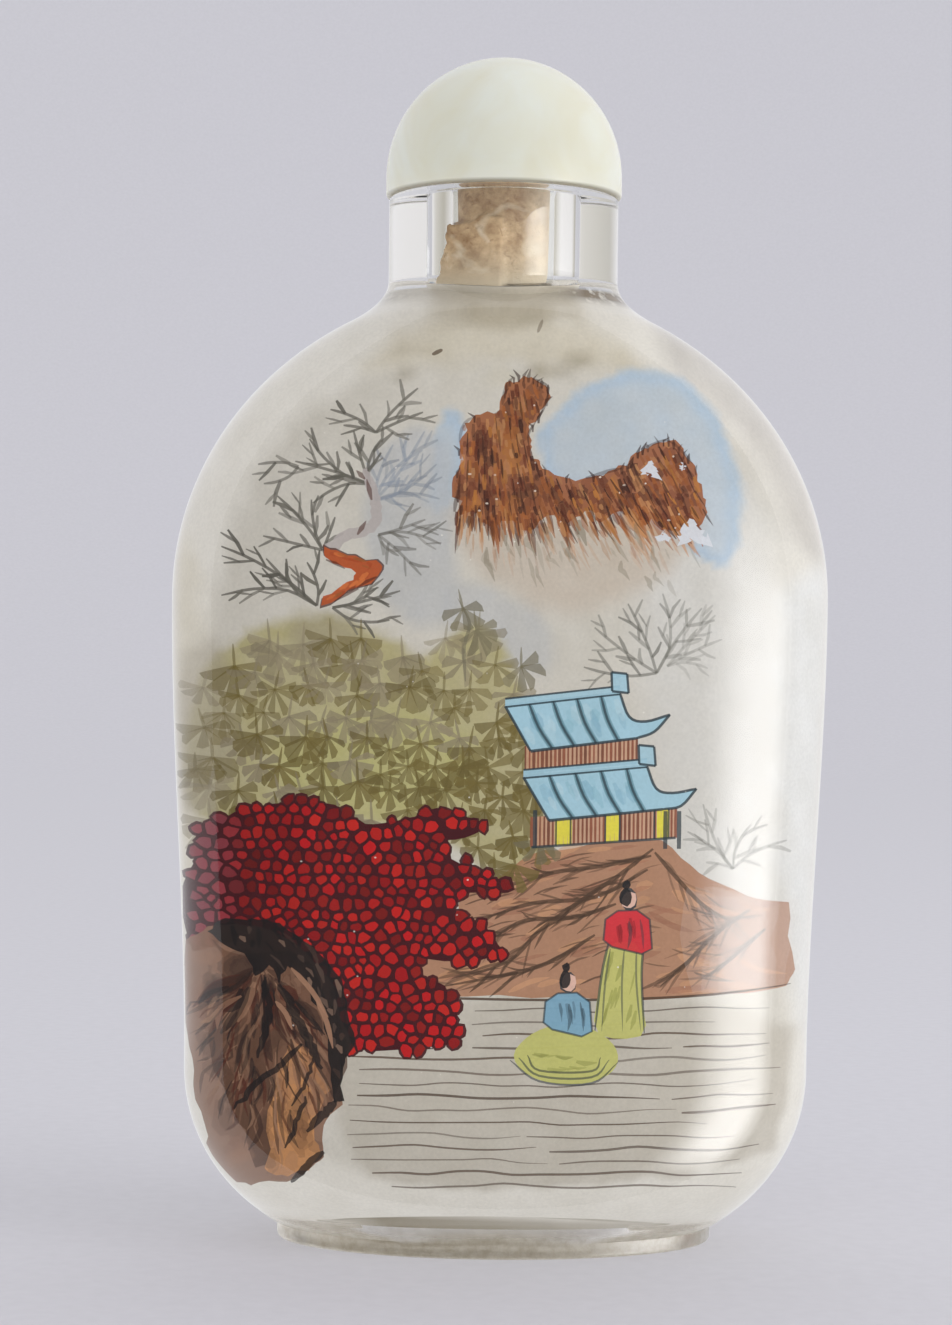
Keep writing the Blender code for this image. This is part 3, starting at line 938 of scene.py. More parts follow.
def smudges(art):
    """Old paint and dust caught at the foot of the neck."""
    pick = art.uniform
    for _ in range(16):
        x, z = pick(-6.5, 6.5), pick(51.6, 55.2)
        wide, tall = pick(0.5, 1.3), pick(0.3, 0.7)
        tone = art.choice((rgb(176, 164, 138), rgb(150, 138, 112), rgb(214, 206, 186)))
        blot = np.array([(-1, -1), (0.6, -1), (1, 0.6), (-0.4, 1)]) * (wide, tall) + (x, z)
        art.wash(blot, tone, pick(0.25, 0.5), 0.8)
    art.wash([(-5, 54.6), (5, 54.6), (4, 57.4), (-4, 57.4)], rgb(192, 181, 158), 0.7, 1.6)
    for x, z, turn, tone in ((-3.8, 53, 0.5, 0.8), (2.1, 54.6, 1.2, 0.5)):
        art.dab(x, z, pick(0.6, 0.9), 0.24, rgb(96, 74, 52), tone, 8, turn)


def fan(art, x, z, radius, turn, spread, leaves, colour, strength):
    """A fan of wedge-shaped leaves that hang from a point."""
    pick = art.uniform
    start = np.array([x, z])
    stem = start + (pick(-0.3, 0.3), radius * 0.75)
    art.stroke(bar(start, stem), 0.16, art.shade(colour, 0.1), strength, 0.9, 0.3)
    for index in range(leaves):
        share = index / (leaves - 1) - 0.5
        angle = turn + spread * share + pick(-0.12, 0.12)
        reach = radius * pick(0.8, 1.12) * (1 - 0.3 * abs(share))
        wide = radius * pick(0.26, 0.48)
        ahead = heading(angle)
        across = np.array([-ahead[1], ahead[0]]) * wide * 0.5
        slant = pick(-0.16, 0.16)
        art.area([
            start - across * 0.2, start + ahead * reach * (0.97 + slant) - across, start + ahead * reach * 1.04,
            start + ahead * reach * (0.9 - slant) + across, start + across * 0.2,
        ], art.shade(colour, 0.16), strength)


def green_trees(art, hue):
    """Olive trees built from hanging fans of leaves over a pale wash."""
    pick = art.uniform
    outline = [
        (-17.5, 25.6), (-17.6, 31), (-16.9, 34.6), (-15.4, 36.4), (-13, 37.3), (-10.6, 38), (-8.2, 37.5), (-6.2, 36.2),
        (-4.2, 35.2), (-3, 36.6), (-1.6, 37.6), (0.1, 36.4), (1.1, 34.4), (1.6, 32.2), (2.4, 29.8), (2.9, 27),
        (2.4, 23.9), (0.2, 22.4), (-3, 25), (-8, 26), (-14, 25.4),
    ]
    art.wash(outline, hue.olive, 0.92, 0.6, 0.06)
    art.wash([(-14, 30), (-6, 33), (0, 30), (-3, 26), (-12, 26)], rgb(196, 192, 118), 0.5, 2.5)
    art.wash([(-18.4, 35), (-15.8, 37), (-15, 30), (-16, 26), (-18.4, 26)], rgb(176, 166, 146), 0.55, 1.2)
    art.wash([(-12.6, 37.6), (-8.6, 38), (-7.2, 35.4), (-11.6, 34.6)], rgb(164, 154, 136), 0.45, 1)
    for x, z in art.scatter(outline, 1.72):
        x, z = x + pick(-0.35, 0.35), z + pick(-0.45, 0.45)
        high = held((z - 26) / 10)
        grey = pick(0, 1) < 0.1 + high * 0.4
        colour = rgb(146, 134, 108) if grey else hue.olive_dark
        strength = mix(0.86, 0.6, high) * (0.7 if x < -15.5 else 1) * pick(0.8, 1.05)
        radius = pick(1.2, 1.8)
        leaves = art.choice((5, 6, 6, 7))
        turn = -math.pi / 2 + pick(-0.35, 0.35)
        fan(art, x, z, radius, turn, pick(2.5, 3.6), leaves, colour, strength)
    for x, z, turn in (
        (-2.2, 38.2, -1.3), (-1.4, 37, -1), (1.2, 34.9, -0.9), (2.2, 31.4, -0.9), (2.9, 28.2, -1.2), (2.4, 24.9, -1.4)
    ):
        fan(art, x, z, 1.5, turn, 2.8, 5, rgb(128, 120, 92), 0.72)
    art.stroke(curve([(-2, 34), (-2.1, 36), (-1.8, 37.4), (-2.5, 38.8)], 3), 0.2, rgb(120, 114, 94), 0.6)


def red_tree(art, hue):
    """A mass of rounded red leaves packed together, each with a dark edge, darkened towards the left as painted shade
    and paled at the far left as a painted reflection.
    """
    outline = [
        (-17.2, 25.3), (-15.4, 26.3), (-12.1, 27), (-9.4, 26.9), (-7.6, 25.8), (-5.8, 26), (-3.4, 26.8), (-1, 26.2),
        (-0.9, 25.4), (-2.7, 24.9), (-2.5, 23.8), (0.6, 22.6), (0.5, 21.8), (-2, 21.8), (-2.3, 20.8), (-0.4, 19.8),
        (0.8, 18), (-1.4, 17.6), (-4.2, 17.9), (-4.6, 16.9), (-2.8, 16.3), (-2, 15), (-2.1, 12.9), (-6.3, 12.4),
        (-8.4, 12.5), (-9.4, 14.5), (-11.2, 17), (-12.8, 18.2), (-15.2, 18.6), (-17.3, 17.6),
    ]
    inner = np.array(outline) * (0.97, 0.98) + (-0.28, 0.4)
    art.area(art.rough(inner, 0.08), hue.red_dark, 1)
    cells = art.cells(outline, 0.76)
    for cell, _ in cells:
        middle = cell.mean(axis=0)
        if distance_to(middle[None, :], np.array(outline))[0] > 1.0 and middle[0] > -15.4:
            continue
        # Painted reflection: the gaps at the far left are paled.
        painted_glare = held((-14.6 - cell[0].mean()) / 1.6)
        art.area(cell, mix(np.array(hue.red_dark), np.array(rgb(118, 58, 66)), painted_glare * 0.7), 0.97)
    for _, leaf in cells:
        x = leaf[:, 0].mean()
        # Painted shade: leaves darken towards the left, on top of their random tones.
        light = art.choice((0.36, 0.52, 0.66, 0.82, 0.95, 1)) * mix(0.5, 1, held((x + 17) / 6))
        warm = art.uniform(0.5, 2)
        colour = np.clip(np.array(hue.red) * light * (1, warm, 1), 0, 1)
        # Painted reflection: the leaves at the far left are paled.
        painted_glare = held((-14.6 - x) / 1.6)
        art.area(leaf, mix(colour, np.array(rgb(156, 72, 84)), painted_glare * 0.75), 0.94)


def rock(art, hue):
    """The rock at the lower left: black at its crest and its right edge, with strokes that fan down from the top."""
    pick = art.uniform
    outline = [
        (-17.4, 18.2), (-16.4, 19.3), (-15, 19.6), (-13, 19.3), (-10.9, 18), (-9.4, 16.2), (-8.9, 14.2), (-8.4, 12.6),
        (-9, 11.6), (-8.8, 9.4), (-9.9, 8.2), (-9.9, 6.4), (-11, 5.5), (-12, 4.9), (-13.4, 4.7), (-14.8, 5.1),
        (-15.8, 6.2), (-16.4, 8.4), (-17, 11.2), (-17.5, 14.2),
    ]
    pale, deep = rgb(146, 106, 82), rgb(28, 22, 22)
    art.area(art.rough(outline, 0.1), pale, 0.93)
    brown = [(-16.2, 18.6), (-12, 18.2), (-9.2, 14.8), (-9.4, 9.6), (-10.6, 6.4), (-13.6, 5.6), (-15.2, 9), (-16, 14)]
    art.area(art.rough(brown, 0.16), hue.rock, 0.8)
    warm = [
        (-11.9, 13.2), (-10.6, 12.2), (-9.5, 10.2), (-10.3, 8.6), (-10.1, 6.6), (-12, 5.2), (-13.2, 5.6), (-12.8, 9.8),
    ]
    art.area(art.rough(warm, 0.14), hue.rock_warm, 0.88)
    crest = np.array([-13.6, 17.4])
    for x, z in art.scatter(outline, 1.1):
        tone = art.choice((pale, hue.rock, rgb(138, 98, 76), rgb(88, 62, 48), rgb(168, 126, 100)))
        wide, tall = pick(0.4, 1), pick(0.7, 1.5)
        for grow in (1, 0.6):
            blot = art.rough(diamond(x, z, wide * grow, tall * grow), 0.35, 1)
            if within(blot, outline):
                art.area(blot, tone, 0.26)
    shades = ((-14.6, 17, 1.8, 1.5), (-13, 15.2, 1.6, 1.8), (-15.8, 15.4, 1, 1.6), (-11.8, 14.4, 1.2, 1.8))
    for x, z, wide, tall in shades:
        for grow in (1, 0.78, 0.56):
            art.area(art.rough(diamond(x, z, wide * grow, tall * grow, 2), 0.3, 1), rgb(62, 44, 38), 0.34)
    for _ in range(330):
        turn = -math.pi / 2 + pick(-1, 0.75)
        near = pick(0.4, 11)
        reach = pick(1, 3.4)
        ahead = heading(turn)
        start, middle, end = (crest + ahead * (near + reach * share) for share in (0, 0.5, 1))
        path = curve([start, middle + np.array([-ahead[1], ahead[0]]) * pick(-0.5, 0.5), end], 2)
        if not within(path, outline):
            continue
        light = pick(0, 1) < 0.28
        colour = art.choice((pale, rgb(168, 128, 100)) if light else (hue.rock_dark, hue.crag_dark, deep))
        wide = pick(0.08, 0.28) if near > 3 else pick(0.16, 0.5)
        art.stroke(path, wide, art.shade(colour, 0.2), pick(0.4, 0.8), 0.4, 0.2)
    ridge = [
        (-16.4, 19), (-15.6, 19.9), (-14.2, 20), (-12.6, 19.8), (-10.6, 18.5), (-8.9, 16.6), (-8.5, 14.4), (-8.2, 12.7),
        (-8.8, 11.5), (-8.7, 9.6), (-9.3, 9.5), (-9.5, 11.4), (-9.7, 13.2), (-10.1, 14.8), (-11, 16.3), (-12.1, 17.3),
        (-12.6, 16.2), (-13.2, 17.3), (-14, 16.6), (-14.6, 17.9), (-15.6, 18.3),
    ]
    art.area(art.rough(ridge, 0.14), deep, 0.94)
    for x, z in art.scatter(ridge, 0.75):
        turn = pick(-1.6, -0.7)
        reach = pick(0.4, 1.3)
        path = bar((x, z), heading(turn) * reach + (x, z), (0.06, 0.06))
        if within(path, ridge):
            tone = art.choice((deep, rgb(92, 72, 62), rgb(78, 56, 46), rgb(146, 116, 98)))
            art.stroke(path, pick(0.14, 0.38), tone, pick(0.4, 0.85), 0.5, 0.3)
    ridges = (
        (((-12.6, 16.2), (-11.6, 14.6), (-10.8, 12.8), (-10, 11.4)), 0.55),
        (((-13.4, 16.4), (-13.2, 14), (-13.8, 11.8)), 0.4),
        (((-9.2, 9.6), (-10, 8.8), (-10.9, 7.8)), 0.5),
        (((-9.9, 6.7), (-10.8, 6), (-11.8, 4.9)), 0.42),
        (((-11.2, 12.8), (-12.6, 11.4), (-14, 10.2), (-15, 8.8)), 0.34),
        (((-11, 9.8), (-11.6, 8), (-12.2, 6.8)), 0.28),
        (((-10.6, 12), (-11, 10.6), (-11.8, 9.2)), 0.22),
    )
    for ridge, wide in ridges:
        path = art.rough(curve(ridge, 3), 0.25, 1)[:-1]
        art.stroke(path, wide, deep, 0.85, 0.4, 0.3)
    for start, end in (((-11.9, 17.2), (-9.7, 14.4)), ((-10.4, 15.4), (-9.4, 12.6)), ((-12.8, 15.2), (-11.8, 13.6))):
        art.stroke(curve(bar(start, end, (0.12, 0.12)), 3), 0.3, rgb(176, 132, 104), 0.85, 0.3, 0.2)


def bank(art, hue):
    """A warm river bank with dark curved strokes, paled over its right end as a painted highlight."""
    pick = art.uniform
    outline = [
        (-5.8, 15.7), (-4.6, 17.8), (-2.4, 19.4), (-2.2, 21.6), (0.2, 22.8), (2.6, 24.3), (5.9, 24.8), (9.4, 24.9),
        (11.6, 23), (14.4, 21.6), (16.5, 21.1), (16.8, 17), (16.4, 16.1), (8.2, 15.6), (2, 15.7),
    ]
    art.area(art.rough(outline, 0.05), hue.bank, 0.9)
    warm, dusk = rgb(214, 160, 118), rgb(166, 112, 88)
    for _ in range(110):
        x, z = pick(-4, 15.8), pick(16, 24.4)
        reach = pick(0.8, 3)
        slope = pick(0.1, 0.5) if x < 8 else pick(-0.5, 0.2)
        path = curve([(x, z), (x + reach * 0.5, z + reach * slope * 0.66), (x + reach, z + reach * slope)], 3)
        if within(path, outline):
            colour = art.choice((warm, dusk))
            art.stroke(path, pick(0.2, 0.55), art.shade(colour), 0.5, 0.3, 0.1)
    limbs = (
        ((8.9, 24.4), (7, 22.9), (4.8, 21.4), (2.4, 19.6), (0.6, 17.8), (-2.6, 16.8)),
        ((8.6, 23.2), (5.6, 21.6), (2, 21.2), (-1, 20.2)),
        ((8.8, 24), (6, 23.4), (3.2, 23), (0.8, 22.2)),
        ((5.6, 19.4), (3.4, 18), (1.2, 17.2), (-3.8, 16.2)),
        ((6.8, 21.2), (4.4, 20.4), (1.6, 20.2), (-0.2, 19.2)),
        ((9, 24.2), (10.4, 22.6), (12, 21), (14.2, 19.8)),
        ((14.6, 20.8), (12.6, 19.4), (11, 17.8), (9.4, 16.4)),
        ((15.4, 19.6), (13.6, 18), (12, 16.8)),
    )
    for limb in limbs:
        path = curve(limb)
        art.stroke(path, 0.24, hue.ink, 0.8, 0.5, 0.2)
        for index in range(1, len(path) - 1):
            ahead = path[index + 1] - path[index - 1]
            for side in (-1, 1):
                turn = math.atan2(ahead[1], ahead[0]) + side * pick(0.05, 0.55)
                reach = pick(0.8, 2.6)
                tip = path[index] + heading(turn) * reach
                middle = (path[index] + tip) / 2 + (0, side * pick(-0.12, 0.2))
                if pick(0, 1) < 0.75 and within([middle, tip], outline):
                    strength = pick(0.45, 0.85) * (0.7 if tip[0] > 9 else 1)
                    twig = curve([path[index], middle, tip], 3)
                    art.stroke(twig, pick(0.09, 0.19), art.shade(hue.ink, 0.3), strength, 0.5, 0.15)
    for _ in range(60):
        x, z = pick(-3.6, 12.6), pick(16.2, 24)
        reach, slope = pick(1, 2.4), pick(0.15, 0.5) if x < 8 else pick(-0.6, -0.1)
        path = curve([(x, z), (x + reach * 0.5, z + reach * slope * 0.7), (x + reach, z + reach * slope)], 3)
        if within(path, outline):
            art.stroke(path, pick(0.07, 0.14), art.shade(hue.ink, 0.3), pick(0.4, 0.75), 0.3, 0.1)
    # Painted highlight: faint pale areas over the bank's right end.
    for reach in (2.9, 2.4, 1.9, 1.4, 0.9):
        low, high = 14.4 + reach * 0.8, 14.4 + reach * 0.9
        painted_glare = [(14.2 - reach, 16), (13.8 - reach, 22.2), (14.4, 21.6), (high, 21.2), (low, 16.2)]
        art.area(art.rough(painted_glare, 0.1), rgb(228, 218, 212), 0.11)
    art.stroke(curve([(-5.6, 15.7), (3, 15.6), (11, 15.8), (16.6, 16.2)], 5), 0.15, hue.ink, 0.9, 0.5, 0.3)


def water(art, hue):
    """Long wavering lines across the water."""
    pick = art.uniform
    art.wash([(-9.6, 15.8), (16.8, 16), (16.6, 9), (14.8, 5.6), (-4, 4.4), (-9, 6)], hue.water, 0.8, 0.6)
    for index in range(15):
        z = 15.0 - index * 0.72
        left = -8.6 if z < 12.6 else -1.6
        left += pick(0, 0.8) + max(0, 6.4 - z) * 1.3
        right = 16.2 - max(0, 9.5 - z) * 0.55 + pick(-1, 0.2)
        while left < right - 2:
            stop = min(right, left + pick(9, 24))
            count = max(4, int((stop - left) / 1.6))
            phase = pick(0, 6)
            path = []
            for step in range(count + 1):
                x = mix(left, stop, step / count)
                path.append((x, z + 0.1 * math.sin(x * 0.7 + phase) + pick(-0.08, 0.08)))
            width, strength = pick(0.08, 0.15), pick(0.5, 0.85)
            art.stroke(curve(path, 3), width, art.shade(hue.ink, 0.2), strength, 0.6, 0.3)
            left = stop + pick(0.3, 1)


def roof(art, hue, left, right, depth, tip):
    """One tiled roof between the two ends of its ridge, with a turned-up right-hand corner."""
    pick = art.uniform
    left, right = np.array(left), np.array(right)
    slope = np.array([1.5, -depth])
    eave_left, eave_right = left + slope, right + slope * np.array([0.62, 1])
    corner = np.array(tip)
    sweep = curve([right, right + (0.55, -depth * 0.52), right + (1.5, -depth * 0.62), corner])
    under = curve([corner, corner + (-0.9, -1), eave_right])
    art.area(np.vstack([[left], sweep, under[1:], [eave_left]]), hue.roof, 0.97)
    for _ in range(16):
        share, high = pick(0.04, 0.96), pick(0.03, 0.5)
        top, foot = mix(left, right, share), mix(eave_left, eave_right, share)
        start, end = mix(top, foot, high), mix(top, foot, min(0.95, high + pick(0.25, 0.5)))
        pool = art.choice((rgb(128, 176, 200), rgb(140, 190, 206), rgb(204, 228, 236)))
        art.stroke(bar(start, end), pick(0.3, 0.75), pool, pick(0.2, 0.45), 0.5, 0.3)
    for step in range(1, 5):
        share = step / 4.8
        top, foot = mix(left, right, share), mix(eave_left, eave_right, share)
        rib = curve(bar(top, foot, (-0.12, -0.08)), 3)
        art.stroke(rib, 0.34, rgb(62, 118, 132), 0.6, 0.7, 1)
        art.stroke(rib, 0.15, hue.outline, 0.8, 0.6, 0.9)
    side, eave = [left, eave_left], [eave_left, eave_right]
    for path, wide in (([left, right], 0.26), (sweep, 0.16), (under, 0.16), (side, 0.18), (eave, 0.2)):
        art.stroke(path, wide, hue.outline, 0.9, 0.9, 0.8)
    lift = np.array([0, 0.42])
    art.area([left, right, right + lift, left + lift], hue.roof, 0.9)
    art.stroke([left + lift, right + lift], 0.13, hue.outline, 0.9, 0.9, 0.9)
    block = right + lift + [(-0.45, -0.3), (0.5, -0.4), (0.4, 0.72), (-0.5, 0.8), (-0.45, -0.3)]
    art.area(block[:-1], hue.roof, 0.9)
    for start, end in zip(block[::-1], block[-2::-1]):
        art.stroke([start, end], 0.16, hue.outline, 0.9, 0.9, 0.9)


def slatted_wall(art, hue, left, right, height, screens):
    """A wall of thin upright slats with a few yellow screens between them."""
    left, right = np.array(left), np.array(right)
    down = np.array([0, -height])
    art.area([left, left + down, right + down, right], rgb(208, 160, 128), 0.9)
    count = int((right[0] - left[0]) / 0.24)
    for step in range(count + 1):
        top = mix(left, right, step / count)
        lit = any(abs(step / count - screen) < 0.045 for screen in screens)
        colour = hue.yellow if lit else art.shade(hue.slat, 0.3)
        wide = 0.26 if lit else art.uniform(0.09, 0.19)
        art.stroke(bar(top, top + down), wide, colour, 0.9, 0.8, 0.8)
    for screen in screens:
        for side in (-0.05, 0.05):
            top = mix(left, right, held(screen + side))
            art.stroke([top, top + down], 0.12, hue.outline, 0.85, 0.9, 0.9)
    art.stroke([left + down, right + down], 0.17, hue.outline, 0.85, 0.9, 0.9)


def pavilion(art, hue):
    """A garden pavilion of two storeys with blue tiled roofs."""
    slatted_wall(art, hue, (1.9, 26.2), (10.2, 26.8), 1.75, (0.22, 0.56, 0.90))
    for x in (2.1, 9.6, 10.4):
        art.stroke([(x, 26.6), (x, 25.6), (x, 24.4)], 0.26, hue.outline, 0.85, 0.9, 0.9)
    slatted_wall(art, hue, (1.5, 30.3), (7.9, 30.9), 1.5, ())
    roof(art, hue, (1.4, 28.5), (8.5, 29.2), 2.5, (11.4, 27.9))
    roof(art, hue, (0.3, 32.6), (6.9, 33.4), 2.6, (9.8, 32.2))


def person(art, hue, x, z, tall, jacket, seated):
    """A small robed person seen from behind, with a single topknot and no face."""
    pick = art.uniform
    ground, head = np.array([x, z]), z + tall
    neck, waist = np.array([x, head - 1]), (head + z) / 2
    if seated:
        skirt = [(-3.3, 1.2), (-2.2, 2.6), (-0.4, 3.3), (1.6, 3), (3, 1.9), (3, 0.6), (1.4, -0.3), (-1.6, -0.2)]
        art.area(smoothed(ground + skirt), hue.robe, 0.97)
        for _ in range(9):
            fold = ground + (pick(-2, 0.9), pick(0.6, 1.9))
            path = [fold, fold + (0.5, -0.12), fold + (pick(0.8, 1.2), -0.06)]
            art.stroke(path, pick(0.14, 0.32), art.shade(rgb(150, 152, 76), 0.15), 0.45, 0.5, 0.2)
        for inset in (0, 0.5, 1):
            end = 1 + inset * 0.3
            rim = [(inset - 3.2, end + 0.1), (-1.5, inset * 0.62 - 0.1), (1.5, inset * 0.7 - 0.2), (3 - inset, end)]
            art.stroke(curve(ground + rim, 5), 0.13, art.shade(hue.outline, 0.2), 0.7, 0.4, 0.3)
    else:
        hem = ground + [(0.9, 2.4), (1.3, 0.2), (-0.3, -0.1), (-1.9, 0.3), (-1.5, 3.2)]
        skirt = np.vstack([[(x - 1.1, head - 2.8), (x + 1, head - 2.8)], hem])
        art.area(smoothed(skirt, 1), hue.robe, 0.97)
        for _ in range(12):
            fold = ground + (pick(-1.2, 0.7), pick(1.6, tall - 3.3))
            path = [fold, fold + (-0.12, -0.6), fold + (-0.3, -pick(0.9, 1.3))]
            art.stroke(path, pick(0.12, 0.3), art.shade(rgb(146, 148, 70), 0.15), 0.5, 0.5, 0.2)
        for side in (-0.9, -0.1, 0.6):
            fold = curve([(x + side, head - 3.2), (x + side * 1.2 - 0.1, waist - 1), (x + side * 1.5, z + 0.4)])
            art.stroke(fold, 0.12, art.shade(hue.outline, 0.2), 0.6)
        for edge, middle, hem in ((-1.02, -1.4, -1.75), (1.02, 0.92, 1.1)):
            side = curve([(x + edge, head - 2.9), (x + middle, waist - 0.6), (x + hem, z + 0.3)])
            art.stroke(side, 0.15, hue.outline, 0.75, 0.6, 0.4)
    coat = [(-0.5, 0), (0.6, 0.05), (1.35, -0.5), (1.5, -2.2), (0.9, -2.5), (-0.8, -2.1), (-1.3, -1.7), (-1.2, -0.5)]
    coat = neck + (coat + coat[:1])
    art.area(coat[:-1], jacket, 0.97)
    for _ in range(7):
        fold = neck + (pick(-0.7, 1.1), -pick(0.4, 1))
        path = [fold, fold + (0.08, -0.4), fold + (0.12, -pick(0.7, 1.1))]
        art.stroke(path, pick(0.12, 0.26), tuple(value * 0.35 for value in jacket), 0.5, 0.7, 0.2)
    art.stroke(coat, 0.13, hue.outline, 0.75, 0.9, 0.9)
    art.stroke(curve(neck + [(0.15, -0.6), (0.25, -1.4), (0.1, -2.2)], 3), 0.2, hue.outline, 0.6)
    art.stroke(curve(neck + [(0.8, -0.5), (0.95, -1.4), (1, -2.2)], 3), 0.14, hue.outline, 0.55)
    hair = rgb(34, 32, 34)
    art.dab(x + 0.1, head - 0.35, 1.02, 1.3, hue.outline, 0.9, 10)
    art.dab(x + 0.14, head - 0.36, 0.84, 1.12, rgb(232, 190, 172), 1, 10)
    art.dab(x - 0.08, head - 0.2, 0.72, 1.08, hair, 0.95, 10)
    art.dab(x - 0.02, head + 0.5, 0.5, 0.56, hair, 0.95, 9)


def front_picture():
    """The landscape on the front."""
    hue = bpy.context.scene.snuff_paint
    art = Picture(7)
    pick = art.uniform
    sky(art, hue)
    smudges(art)
    water(art, hue)
    crags(art, hue)
    grey = rgb(112, 110, 100)
    tips = ((4.8, 34.9), (5.4, 37.2), (7.3, 38.6), (9.3, 39.2), (11.6, 38.4))
    bare_tree(art, (9, 34.6), tips, grey, 0.62)
    bare_tree(art, (9.6, 35), ((12.8, 36.6), (12, 34.9), (12.4, 38)), grey, 0.3)
    bare_tree(art, (13.6, 23.2), ((10.9, 25.4), (11.8, 27), (14.6, 25.8), (16.4, 24.8), (12, 23.6)), grey, 0.42)
    pine(art, hue)
    bank(art, hue)
    green_trees(art, hue)
    pavilion(art, hue)
    red_tree(art, hue)
    rock(art, hue)
    person(art, hue, 7.4, 13.4, 8.4, hue.jacket, False)
    person(art, hue, 4, 11, 6, hue.blouse, True)
    for _ in range(40):
        x, z = pick(-13, 12), pick(8, 50)
        art.dab(x, z, pick(0.07, 0.15), 0.1, rgb(242, 238, 230), pick(0.4, 0.9), 5)
    return art


def back_picture():
    """A plainer landscape on the back: far hills, a pine and still water."""
    hue = bpy.context.scene.snuff_paint
    art = Picture(23)
    pick = art.uniform
    near, far = rgb(150, 168, 186), rgb(172, 184, 196)
    inner = [
        (-11, 49), (-5, 52.6), (5, 52.6), (11, 49), (16, 42), (16.8, 12), (13, 5.6), (-13, 5.6), (-16.8, 12), (-16, 42),
    ]
    art.wash(inner, hue.plain, 0.55, 3)
    right_hill = [
        (-4.5, 28), (-2, 31.6), (0.2, 35), (1.6, 38.4), (2.6, 40.6), (3.5, 43.4), (4.4, 41), (5.4, 39.8), (7.2, 38.2),
        (8.6, 34.8), (10.8, 32.4), (13.6, 29.6), (14.6, 27),
    ]
    left_hill = [
        (-14.6, 27), (-12.6, 31.2), (-10.8, 33.8), (-9.4, 37.4), (-8.6, 39.8), (-7.4, 37), (-5.6, 35.2), (-3.4, 32),
        (-1.2, 28),
    ]
    art.wash(right_hill, far, 0.85, 0.5, 0.2)
    art.wash(left_hill, near, 0.85, 0.5, 0.2)
    art.wash([(-15.5, 31), (-6, 29.6), (4, 31), (15.5, 29.6), (15, 24), (-15, 24)], hue.ground, 0.95, 3.2)
    for hill, tone in ((right_hill, rgb(112, 126, 142)), (left_hill, rgb(94, 108, 124))):
        for x, z in art.scatter(hill, 1.1):
            reach, turn = pick(0.7, 1.9), pick(-2.2, -0.9)
            aside = math.cos(turn) * reach
            path = [(x, z), (x + aside * 0.6, z - reach * 0.4), (x + aside, z - reach)]
            if z > 31 and within(path, hill):
                art.stroke(path, pick(0.12, 0.34), tone, pick(0.12, 0.4), 0.6, 0.2)
        for index in range(1, len(hill) - 2):
            if min(hill[index][1], hill[index + 1][1]) > 31.5:
                art.stroke(art.rough(curve(hill[index:index + 2]), 0.1, 1)[:-1], 0.16, tone, 0.55, 0.6, 0.4)
    shore = [
        (-15.4, 12), (-15.8, 19.6), (-13.2, 21.8), (-9.6, 22.6), (-6, 21.2), (-3.2, 19.4), (0.4, 18.2), (4.2, 17.4),
        (3, 16.6), (-2.6, 16), (-7, 14.6), (-10.6, 12.2),
    ]
    art.area(art.rough(shore, 0.08), hue.bank, 0.85)
    for x, z in art.scatter(shore, 1.2):
        path = [(x - 0.9, z - 0.2), (x, z + 0.15), (x + 1.1, z - 0.1)]
        if within(path, shore):
            art.stroke(path, pick(0.14, 0.4), hue.ink, pick(0.2, 0.6), 0.4, 0.1)
    art.wash([(-13, 12), (-6, 15), (4, 17), (15.6, 17), (16.6, 9), (13, 5), (-12, 5)], hue.water, 0.6, 2.6)
    for index in range(11):
        z = 16.0 - index * 0.85
        left, right = -10 + pick(0, 4) + max(0, z - 11.5) * 2.6, 13 - pick(0, 5)
        path = [(mix(left, right, step / 10), z + 0.1 * math.sin(step * 1.1 + index)) for step in range(11)]
        art.stroke(curve(path, 3), 0.1, hue.ink, 0.5, 0.5, 0.3)
    trunk = curve([(-9.8, 21), (-9, 23.4), (-10.2, 26), (-9.2, 28.6), (-7.4, 30.4), (-7.8, 33)], 5)
    art.stroke(trunk, 1, hue.crag_dark, 0.85, 1, 0.35)
    art.stroke(trunk, 0.74, hue.trunk, 0.9, 1, 0.35)
    boughs = (
        ((-7.8, 32.8), ((-11, 35), (-8.8, 36.4), (-6, 36.2), (-4.8, 34))),
        ((-8.6, 29.4), ((-12.6, 31.2), (-12.8, 29.2), (-5, 30.6), (-5.4, 28.8))),
        ((-10, 26.4), ((-14.2, 27.6), (-14, 25.6), (-6.6, 26.6))),
    )
    for base, tips in boughs:
        for tip in tips:
            sprig(art, base, tip, hue.needle, 0.75)
    bare_tree(art, (9.4, 29.6), ((6.8, 32.4), (9.2, 33.6), (11.8, 32.6)), rgb(130, 128, 120), 0.4)
    return art


